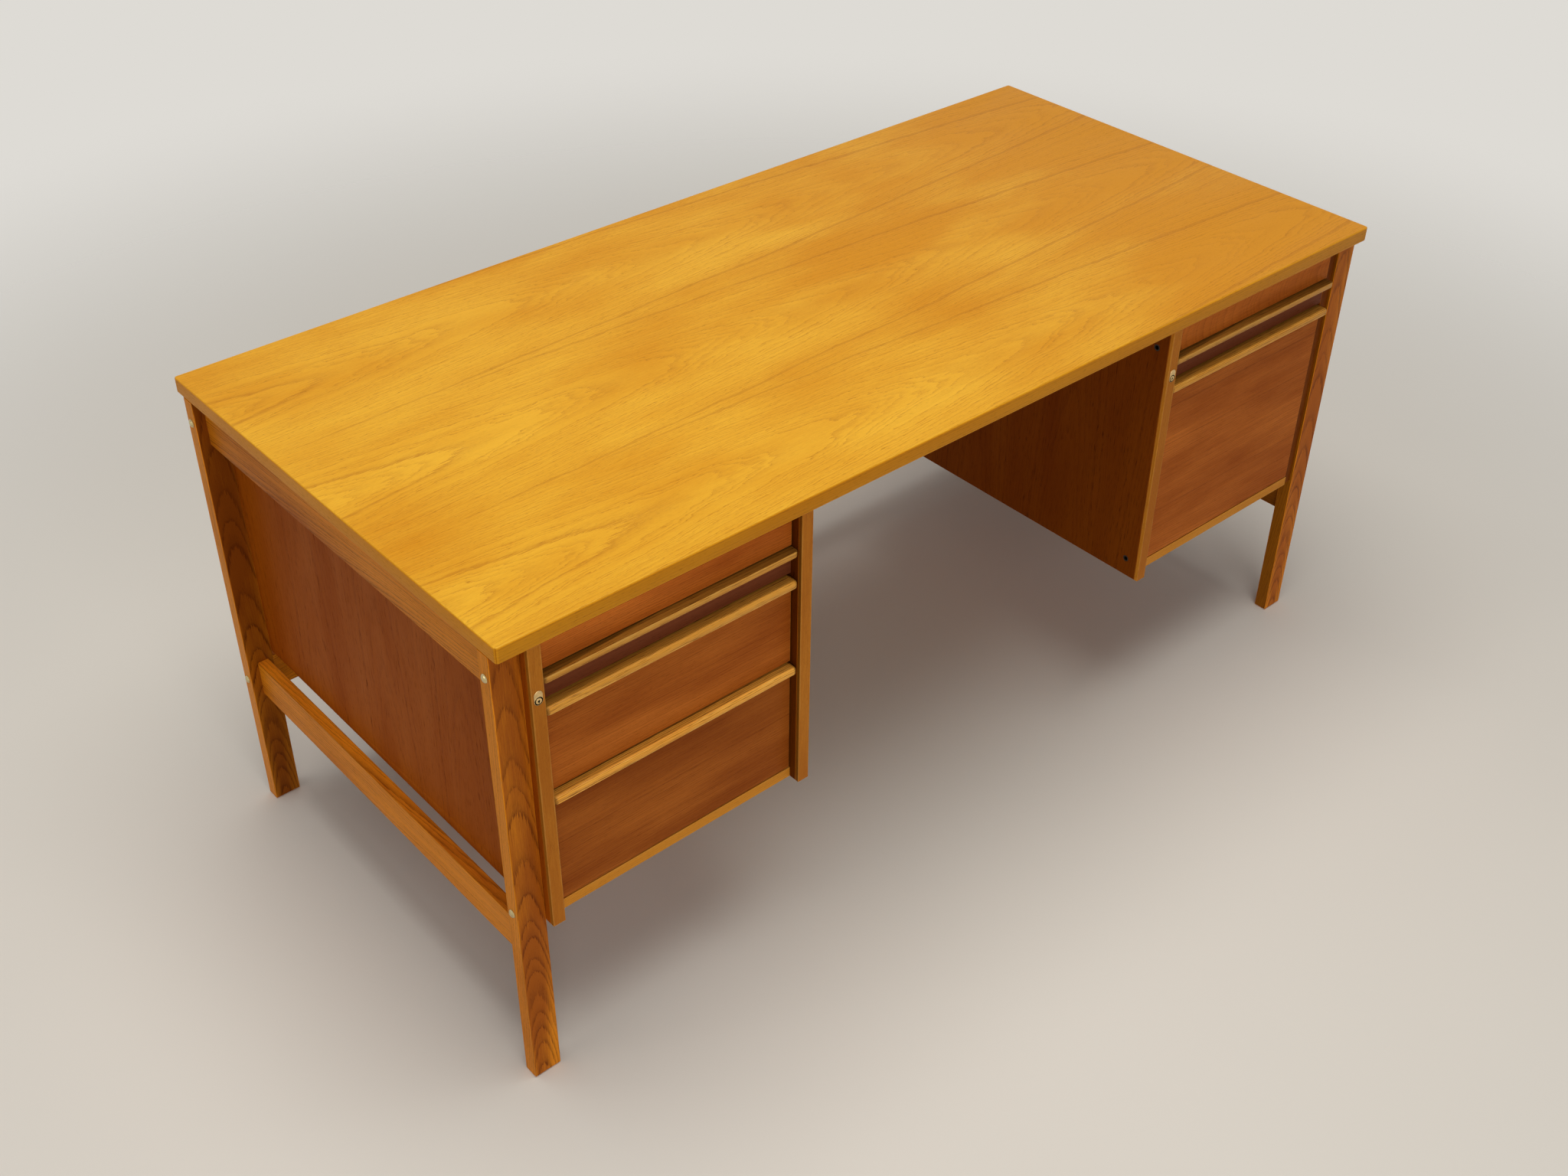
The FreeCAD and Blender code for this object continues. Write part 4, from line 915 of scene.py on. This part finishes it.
class DESK_OT_locks(bpy.types.Operator):
    """Makes the two locks: case, key plug with its cam, and the bar that the cam lifts"""
    bl_idname = "desk.locks"
    bl_label = "Locks"

    def execute(self, context):
        sizes = context.scene.desk_sizes
        for side in SIDES:
            self.case(side, sizes)
            self.plug(side, sizes)
            node = f"{side}_lock_bar"
            jointed_piece(f"{node}_rolled", node, node, "hardware_steel", BAR_ARRIS, lambda size: Vector(), Z)
        return {"FINISHED"}

    def tube(self, bm, rings, tone=1.0):
        """Joins rings of points into a wall, from the front backwards. All but the first get the tone."""
        tones = bm.verts.layers.float[TONE]
        loops = [[bm.verts.new(point) for point in ring] for ring in rings]
        for number, loop in enumerate(loops):
            for v in loop:
                v[tones] = tone if number else 1.0
        for front, rear in zip(loops, loops[1:]):
            for i in range(len(front)):
                bm.faces.new((front[i - 1], front[i], rear[i], rear[i - 1])).smooth = True
        return loops

    def circle(self, centre, radius, y):
        """Forty points round an upright circle."""
        return [(x, y, z) for x, z in arc(centre, radius, 0, 351, 39)]

    def fill_between(self, bm, outer, inner):
        """Flat faces between a loop of points and one inside it, each point to the nearest in angle."""
        middle = sum((v.co for v in inner), Vector()) / len(inner)
        def turn(v):
            return math.atan2(v.co.z - middle.z, v.co.x - middle.x) % math.tau
        def next_turn(loop, at):
            if at >= len(loop):
                return math.inf
            return turn(loop[at + 1]) if at + 1 < len(loop) else turn(loop[0]) + math.tau
        outer, inner = sorted(outer, key=turn), sorted(inner, key=turn)
        i = j = 0
        while i < len(outer) or j < len(inner):
            a, b = outer[i % len(outer)], inner[j % len(inner)]
            if next_turn(outer, i) <= next_turn(inner, j):
                i += 1
                bm.faces.new((a, outer[i % len(outer)], b))
            else:
                j += 1
                bm.faces.new((a, inner[j % len(inner)], b))

    def case(self, side, sizes):
        """The lock's upright face, with a soft rim and a bore for the plug."""
        node = f"{side}_lock_case"
        low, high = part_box(node)
        wide = (high.x - low.x) / 2
        middle, foot_z, head_z = (low.x + high.x) / 2, low.z + wide, high.z - wide
        bore, mouth, rim = wide - sizes.lock_wall, wide - sizes.lock_wall / 2, sizes.lock_rim
        def outline(inset, y):
            ring = arc((middle, head_z), wide - inset, 0, 180, 20)
            ring += arc((middle, foot_z), wide - inset, 180, 360, 20)
            return [(x, y, z) for x, z in ring]
        curve = [(rim - r, low.y + rim - d) for r, d in arc((0, 0), rim, 90, 0, 4)]
        bm = new_boards()
        outside = self.tube(bm, [outline(inset, y) for inset, y in curve] + [outline(0, high.y)])
        # Painted shade on the bore's wall behind its mouth.
        inside = self.tube(bm, [self.circle((middle, foot_z), radius, y) for radius, y in (
            (mouth, low.y), (bore, low.y + sizes.lock_wall), (bore, high.y))], GAP_PAINTED_SHADE)
        self.fill_between(bm, outside[0], inside[0])
        self.fill_between(bm, outside[-1], inside[-1])
        bmesh.ops.recalc_face_normals(bm, faces=bm.faces[:])
        piece(f"{node}_plated", bm, "frame", "lock_nickel", node)

    def plug(self, side, sizes):
        """The round key plug, with a keyhole cut into its face and its cam behind the case."""
        node = f"{side}_lock_plug"
        low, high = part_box(node)
        case_low, case_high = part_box(f"{side}_lock_case")
        wide = (case_high.x - case_low.x) / 2
        centre_x, centre_z = (case_low.x + case_high.x) / 2, case_low.z + wide
        radius, face = wide - sizes.lock_wall - sizes.plug_gap, sizes.plug_face / 2
        rim, deep = sizes.plug_rim, sizes.keyhole_deep
        hole, slot, drop = sizes.keyhole_round / 2, sizes.keyhole_slot / 2, sizes.keyhole_high
        start = math.degrees(math.asin(slot / hole))
        def keyhole(y):
            outline = arc((0, 0), hole, 270 + start, 630 - start, 18) + [(-slot, -drop), (slot, -drop)]
            return [(centre_x + x, y, centre_z + z) for x, z in outline]
        bm = new_boards()
        shoulder_y = low.y + sizes.plug_shoulder
        # Painted shade on the plug's side behind its face, and inside the keyhole behind its mouth.
        outside = self.tube(bm, [self.circle((centre_x, centre_z), out, y) for out, y in (
            (face - rim, low.y), (face, low.y + rim), (face, shoulder_y), (radius, shoulder_y),
            (radius, high.y))], GAP_PAINTED_SHADE)
        inside = self.tube(bm, [keyhole(low.y), keyhole(low.y + rim), keyhole(low.y + deep)], GAP_PAINTED_SHADE)
        self.fill_between(bm, outside[0], inside[0])
        bm.faces.new(inside[-1])
        bm.faces.new(outside[-1])
        self.cam(bm, node, Vector((centre_x, 0, centre_z)), radius)
        bmesh.ops.recalc_face_normals(bm, faces=bm.faces[:])
        piece(f"{node}_turned", bm, node, "lock_nickel", node)

    def cam(self, bm, node, axis, radius):
        """The arm behind the case that lifts the bar, from the plug's middle out to the CAD arm's tip."""
        flat = Vector((1, 0, 1))
        points = [v.co.copy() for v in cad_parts[node].data.vertices]
        tips = [point for point in points if (point * flat - axis).length > CAM_REACH * radius]
        reach = sum((tip * flat - axis for tip in tips), Vector()) / len(tips)
        before = set(bm.verts)
        corners = [bm.verts.new(point) for tip in tips for point in (tip, tip - reach)]
        bmesh.ops.remove_doubles(bm, verts=corners, dist=TOUCH)
        made = new_points(bm, before)
        bmesh.ops.convex_hull(bm, input=made)
        for v in made:
            v[bm.verts.layers.float[TONE]] = 1.0


class DESK_OT_fasteners(bpy.types.Operator):
    """Makes the bolts, screws and barrel nuts by one node tree, and the inserts by another"""
    bl_idname = "desk.fasteners"
    bl_label = "Bolts, nuts and screws"

    def execute(self, context):
        sizes = context.scene.desk_sizes
        domed, sleeve = self.domed_tree(), self.sleeve_tree()
        for node in ("front_leg_bolts", "rear_leg_bolts"):
            seats = []
            for group in self.solids(node):
                hand = 1 if group[0].x > 0 else -1
                reaches = [abs(p.x) for p in group]
                under = max(reaches) - sizes.bolt_dome
                seats.append((Vector((hand * under, *self.middle(group)[1:])), Vector((hand, 0, 0)),
                              under - min(reaches)))
            self.grow(f"{node}_domed", domed, seats, "bolt_steel", node, {
                "Head Width": sizes.bolt_head, "Head Height": sizes.bolt_dome,
                "Collar Height": sizes.bolt_collar, "Slot Width": 0.0, "Slot Depth": 0.0,
                "Shank Width": BOLT_SHANK * MM})
        for node, parts, axis in (("top_screws", SCREW, Z), ("rail_barrel_nuts", BARREL_NUT, Y)):
            parts = {name: size * MM for name, size in parts.items()}
            aim = Vector()
            aim[axis] = -1
            seats = []
            for group in self.solids(node):
                low, high = extent(group)
                seat = (low + high) / 2
                seat[axis] = low[axis] + parts["Head Height"]
                seats.append((seat, aim, high[axis] - low[axis] - parts["Head Height"]))
            self.grow(f"{node}_slotted", domed, seats, "hardware_steel", node, parts)
        node, aim, run = "pedestal_inserts", Vector((1, 0, 0)), INSERT_LENGTH * MM
        seats = [(self.middle(group), aim, run) for group in self.solids(node)]
        self.grow(f"{node}_threaded", sleeve, seats, "hardware_steel", node,
                  {name: size * MM for name, size in INSERT.items()})
        return {"FINISHED"}

    def solids(self, node):
        """The points of each separate solid of a CAD node."""
        bm = bmesh.new()
        bm.from_mesh(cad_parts[node].data)
        bmesh.ops.remove_doubles(bm, verts=bm.verts[:], dist=WELD)
        groups = [[v.co.copy() for v in group] for group in islands(bm.verts)]
        bm.free()
        return sorted(groups, key=lambda group: tuple(round(c, 4) for c in self.middle(group)))

    def middle(self, points):
        low, high = extent(points)
        return (low + high) / 2

    def grow(self, name, tree, seats, slot, node, inputs):
        """Runs a node tree on one point per fastener, and keeps the result as a plain mesh."""
        mesh = bpy.data.meshes.new(name)
        mesh.from_pydata([seat for seat, aim, run in seats], [], [])
        mesh.attributes.new("aim", "FLOAT_VECTOR", "POINT")
        mesh.attributes.new("run", "FLOAT", "POINT")
        for i, (seat, aim, run) in enumerate(seats):
            mesh.attributes["aim"].data[i].vector = aim
            mesh.attributes["run"].data[i].value = run
        source = bpy.data.objects.new(f"{name}_seats", mesh)
        bpy.context.scene.collection.objects.link(source)
        modifier = source.modifiers.new(tree.name, "NODES")
        modifier.node_group = tree
        sockets = {item.name: item.identifier for item in tree.interface.items_tree if item.in_out == "INPUT"}
        for key, setting in {**inputs, "Finish": finish(slot)}.items():
            modifier[sockets[key]] = setting
        graph = bpy.context.evaluated_depsgraph_get()
        made = bpy.data.meshes.new_from_object(source.evaluated_get(graph), preserve_all_data_layers=True,
                                               depsgraph=graph)
        source.modifiers.remove(modifier)
        bpy.data.objects.remove(source)
        if not made.polygons:
            raise RuntimeError(f"the node tree made nothing for {name}")
        dress(name, made, "frame", slot, node)

    def new_tree(self, name, sizes):
        """A tree with a geometry input, named sizes and a material."""
        tree = bpy.data.node_groups.new(name, "GeometryNodeTree")
        tree.interface.new_socket("Seats", in_out="INPUT", socket_type="NodeSocketGeometry")
        for size in sizes:
            socket = tree.interface.new_socket(size, in_out="INPUT", socket_type="NodeSocketFloat")
            socket.subtype, socket.default_value = "DISTANCE", 5 * MM
        tree.interface.new_socket("Finish", in_out="INPUT", socket_type="NodeSocketMaterial")
        tree.interface.new_socket("Fasteners", in_out="OUTPUT", socket_type="NodeSocketGeometry")
        return tree, add(tree, "NodeGroupInput").outputs

    def set_on_seats(self, tree, given, shapes, spin):
        """Puts shapes on every seat, along its aim, and ends the tree. Each comes with its scale."""
        aim = add(tree, "GeometryNodeInputNamedAttribute", {"Name": "aim"}, data_type="FLOAT_VECTOR")
        turn = add(tree, "FunctionNodeAlignRotationToVector", {"Vector": aim}, axis="Z")
        if spin:
            angle = add(tree, "FunctionNodeRandomValue", {
                "Min": Vector((0, 0, 0)), "Max": Vector((0, 0, math.pi)), "Seed": SEED},
                data_type="FLOAT_VECTOR")
            spun = add(tree, "FunctionNodeEulerToRotation", {"Euler": angle})
            turn = add(tree, "FunctionNodeRotateRotation", {"Rotation": turn, "Rotate By": spun},
                       rotation_space="LOCAL")
        joined = add(tree, "GeometryNodeJoinGeometry")
        for shape, scale in shapes:
            placed = add(tree, "GeometryNodeInstanceOnPoints", {
                "Points": given["Seats"], "Instance": shape, "Rotation": turn, "Scale": scale})
            tree.links.new(placed.outputs[0], joined.inputs[0])
        real = add(tree, "GeometryNodeRealizeInstances", {"Geometry": joined})
        angle = add(tree, "GeometryNodeInputMeshEdgeAngle").outputs["Unsigned Angle"]
        soft = add(tree, "FunctionNodeCompare", {0: angle, 1: math.radians(32)}, operation="LESS_THAN")
        shaded = add(tree, "GeometryNodeSetShadeSmooth", {
            "Geometry": real, "Shade Smooth": soft}, domain="EDGE")
        coated = add(tree, "GeometryNodeSetMaterial", {"Geometry": shaded, "Material": given["Finish"]})
        add(tree, "NodeGroupOutput", {"Fasteners": coated})
        return tree

    def domed_tree(self):
        """A domed head on a straight rim, with a turnscrew slot, and a shank behind it."""
        tree, given = self.new_tree("domed_fastener", (
            "Head Width", "Head Height", "Collar Height", "Slot Width", "Slot Depth", "Shank Width"))
        radius = add(tree, MATH, {0: given["Head Width"], 1: 0.5}, operation="MULTIPLY")
        head = add(tree, "GeometryNodeMeshCylinder", {
            "Vertices": 40, "Side Segments": 1, "Fill Segments": 8, "Radius": radius,
            "Depth": given["Collar Height"]}, fill_type="TRIANGLE_FAN")
        at = add(tree, "GeometryNodeInputPosition")
        parts = add(tree, SPLIT, {0: at})
        flat = add(tree, COMBINE, {0: parts.outputs["X"], 1: parts.outputs["Y"]})
        out = add(tree, VECTOR_MATH, {0: flat}, operation="LENGTH").outputs["Value"]
        share = add(tree, MATH, {0: out, 1: radius}, operation="DIVIDE")
        share = add(tree, MATH, {0: share, 1: share}, operation="MULTIPLY")
        share = add(tree, MATH, {0: 1.0, 1: share}, operation="SUBTRACT", use_clamp=True)
        share = add(tree, MATH, {0: share, 1: 0.62}, operation="POWER")
        rise = add(tree, MATH, {0: given["Head Height"], 1: given["Collar Height"]}, operation="SUBTRACT")
        lift = add(tree, MATH, {0: share, 1: rise}, operation="MULTIPLY")
        lift = add(tree, COMBINE, {2: lift})
        on_top = add(tree, "FunctionNodeCompare", {0: parts.outputs["Z"], 1: 0.0}, operation="GREATER_THAN")
        dome = add(tree, "GeometryNodeSetPosition", {"Geometry": head, "Selection": on_top, "Offset": lift})
        half_collar = add(tree, MATH, {0: given["Collar Height"], 1: 0.5}, operation="MULTIPLY")
        seat = add(tree, COMBINE, {2: half_collar})
        dome = add(tree, "GeometryNodeTransform", {"Geometry": dome, "Translation": seat})

        slot_long = add(tree, MATH, {0: given["Head Width"], 1: 1.3}, operation="MULTIPLY")
        slot_high = add(tree, MATH, {0: given["Slot Depth"], 1: 2.0}, operation="MULTIPLY")
        slot_size = add(tree, COMBINE, {0: slot_long, 1: given["Slot Width"], 2: slot_high})
        slot_at = add(tree, COMBINE, {2: given["Head Height"]})
        cutter = add(tree, "GeometryNodeMeshCube", {"Size": slot_size})
        cutter = add(tree, "GeometryNodeTransform", {"Geometry": cutter, "Translation": slot_at})
        slotted = add(tree, "GeometryNodeMeshBoolean", {"Mesh 1": dome, "Mesh 2": cutter},
                      operation="DIFFERENCE", solver="EXACT")
        has_slot = add(tree, "FunctionNodeCompare", {
            0: given["Slot Depth"], 1: 0.0}, operation="GREATER_THAN")
        head = add(tree, "GeometryNodeSwitch", {"Switch": has_slot, "False": dome, "True": slotted},
                   input_type="GEOMETRY")

        shank_radius = add(tree, MATH, {0: given["Shank Width"], 1: 0.5}, operation="MULTIPLY")
        shank = add(tree, "GeometryNodeMeshCylinder", {"Vertices": 32, "Radius": shank_radius, "Depth": 1.0})
        shank = add(tree, "GeometryNodeTransform", {"Geometry": shank, "Translation": Vector((0, 0, -0.5))})
        run = add(tree, "GeometryNodeInputNamedAttribute", {"Name": "run"}, data_type="FLOAT")
        stretch = add(tree, COMBINE, {0: 1.0, 1: 1.0, 2: run})
        return self.set_on_seats(tree, given, ((head, (1, 1, 1)), (shank, stretch)), spin=True)

    def sleeve_tree(self):
        """A threaded sleeve, open right through."""
        tree, given = self.new_tree("threaded_sleeve", ("Outer Width", "Bore Width"))
        total = add(tree, MATH, {0: given["Outer Width"], 1: given["Bore Width"]}, operation="ADD")
        middle = add(tree, MATH, {0: total, 1: 0.25}, operation="MULTIPLY")
        wall = add(tree, MATH, {0: given["Outer Width"], 1: given["Bore Width"]}, operation="SUBTRACT")
        wall = add(tree, MATH, {0: wall, 1: 0.5}, operation="MULTIPLY")
        ring = add(tree, "GeometryNodeCurvePrimitiveCircle", {
            "Resolution": 36, "Radius": middle}, mode="RADIUS")
        section = add(tree, "GeometryNodeCurvePrimitiveQuadrilateral", {
            "Width": wall, "Height": INSERT_LENGTH * MM})
        sleeve = add(tree, "GeometryNodeCurveToMesh", {
            "Curve": ring, "Profile Curve": section, "Fill Caps": False})
        return self.set_on_seats(tree, given, ((sleeve, (1, 1, 1)),), spin=False)


# ---------------------------------------------------------------- stage
class DESK_OT_stage(bpy.types.Operator):
    """Sets the floor, the soft lamps, the background and the camera"""
    bl_idname = "desk.stage"
    bl_label = "Stage"

    def execute(self, context):
        stage = context.scene.desk_stage
        self.floor(stage)
        self.surround(context.scene, stage)
        self.lamp("overhead_softbox", (-0.3, -0.2, 4.2), (0.0, -0.1, 0.7), (3.4, 2.6), stage.overhead)
        self.lamp("left_softbox", (-4.2, 0.4, 1.7), (-0.7, 0.0, 0.4), (1.8, 1.4), stage.side)
        self.lamp("front_softbox", (-1.9, -3.6, 2.1), (0.1, 0.0, 0.4), (2.6, 1.8), stage.fill)
        self.camera(context.scene)
        context.scene.view_settings.view_transform = "Standard"
        return {"FINISHED"}

    def floor(self, stage):
        """Matt painted floor: one pale tone with a trace of unevenness."""
        material, tree = blank_material("painted_floor_matt")
        at = add(tree, "ShaderNodeTexCoord").outputs["Object"]
        cloud = add(tree, NOISE, {"Vector": at, "Scale": per_mm(700)[0], "Detail": 2}).outputs["Fac"]
        darker = rgba([part * 0.96 for part in stage.floor])
        colour = add(tree, MIX, {0: cloud, 6: rgba(stage.floor), 7: darker}, data_type="RGBA")
        surface = add(tree, "ShaderNodeBsdfPrincipled", {"Base Color": colour, "Roughness": 0.75,
                                                         "Specular IOR Level": 0.2})
        out = add(tree, VECTOR_MATH, {0: at}, operation="LENGTH").outputs["Value"]
        far = add(tree, REMAP, {"Value": out, 1: stage.floor_near, 2: stage.floor_far, 3: 0, 4: 1},
                  interpolation_type="SMOOTHSTEP")
        clear = add(tree, "ShaderNodeBsdfTransparent")
        faded = add(tree, "ShaderNodeMixShader", {0: far, 1: surface, 2: clear})
        add(tree, "ShaderNodeOutputMaterial", {"Surface": faded})
        reach = 12
        mesh = bpy.data.meshes.new("floor")
        corners = [(-reach, -reach, 0), (reach, -reach, 0), (reach, reach, 0), (-reach, reach, 0)]
        mesh.from_pydata(corners, [], [(0, 1, 2, 3)])
        mesh.materials.append(material)
        floor = bpy.data.objects.new("floor", mesh)
        bpy.context.scene.collection.objects.link(floor)

    def surround(self, scene, stage):
        """Soft light from all round. The camera, and what metal mirrors, see the pale background instead."""
        scene.world = bpy.data.worlds.new("studio")
        scene.world.use_nodes = True
        tree = scene.world.node_tree
        tree.nodes.clear()
        rays = add(tree, "ShaderNodeLightPath").outputs
        seen = add(tree, MATH, {0: rays["Is Camera Ray"], 1: rays["Is Glossy Ray"]}, operation="MAXIMUM")
        seen = add(tree, MATH, {0: seen, 1: rays["Is Transmission Ray"]}, operation="MAXIMUM")
        light = add(tree, "ShaderNodeBackground", {"Color": (1, 0.98, 0.95, 1), "Strength": stage.surround})
        shown = add(tree, "ShaderNodeBackground", {"Color": rgba(stage.background), "Strength": 1})
        both = add(tree, "ShaderNodeMixShader", {0: seen, 1: light, 2: shown})
        add(tree, "ShaderNodeOutputWorld", {"Surface": both})

    def lamp(self, name, at, aim, size, power):
        light = bpy.data.lights.new(name, "AREA")
        light.shape, light.size, light.size_y, light.energy = "RECTANGLE", *size, power
        light.color = (1, 0.97, 0.93)
        lamp = bpy.data.objects.new(name, light)
        lamp.location = at
        lamp.rotation_euler = (Vector(aim) - Vector(at)).to_track_quat("-Z", "Y").to_euler()
        bpy.context.scene.collection.objects.link(lamp)

    def camera(self, scene):
        """The viewpoint: turn and dip of the view, its tilt, and a lens for a 2048 x 1536 frame."""
        at = Vector((-1.561549, -1.710658, 1.938875))
        turn, dip, roll = 0.7217481, 0.6412735, 0.0097267
        focal_pixels, frame_pixels = 2362.8955, 2048
        ahead = Vector((math.sin(turn) * math.cos(dip), math.cos(turn) * math.cos(dip), -math.sin(dip)))
        right = Vector((math.cos(turn), -math.sin(turn), 0))
        up = right.cross(ahead)
        right, up = (math.cos(roll) * right + math.sin(roll) * up,
                     math.cos(roll) * up - math.sin(roll) * right)
        data = bpy.data.cameras.new("camera")
        data.sensor_fit, data.sensor_width = "HORIZONTAL", 36
        data.lens = focal_pixels / frame_pixels * data.sensor_width
        data.clip_end = 60
        camera = bpy.data.objects.new("camera", data)
        camera.matrix_world = Matrix.Translation(at) @ Matrix((right, up, -ahead)).transposed().to_4x4()
        scene.collection.objects.link(camera)
        scene.camera = camera


class DESK_PT_sidebar(bpy.types.Panel):
    """The desk's operators and settings"""
    bl_label = "Pedestal desk"
    bl_idname = "DESK_PT_sidebar"
    bl_space_type = "VIEW_3D"
    bl_region_type = "UI"
    bl_category = "Desk"

    def draw(self, context):
        for operator in OPERATORS:
            self.layout.operator(operator.bl_idname)
        for group in GROUPS:
            settings = getattr(context.scene, group)
            box = self.layout.box()
            for name in GROUPS[group].__annotations__:
                box.prop(settings, name)


GROUPS = {"desk_colours": DeskColours, "desk_sizes": DeskSizes, "desk_stage": DeskStage}
OPERATORS = (DESK_OT_top, DESK_OT_end_frames, DESK_OT_pedestals, DESK_OT_drawers, DESK_OT_locks,
             DESK_OT_fasteners, DESK_OT_stage)
CLASSES = (*GROUPS.values(), *OPERATORS, DESK_PT_sidebar)


def register():
    for each in CLASSES:
        bpy.utils.register_class(each)
    for name, group in GROUPS.items():
        setattr(bpy.types.Scene, name, PointerProperty(type=group))


def unregister():
    for name in GROUPS:
        delattr(bpy.types.Scene, name)
    for each in reversed(CLASSES):
        bpy.utils.unregister_class(each)


def main():
    register()
    bpy.ops.desk.top()
    bpy.ops.desk.end_frames()
    bpy.ops.desk.pedestals()
    bpy.ops.desk.drawers()
    bpy.ops.desk.locks()
    bpy.ops.desk.fasteners()
    bpy.ops.desk.stage()


if __name__ == "__main__":
    main()
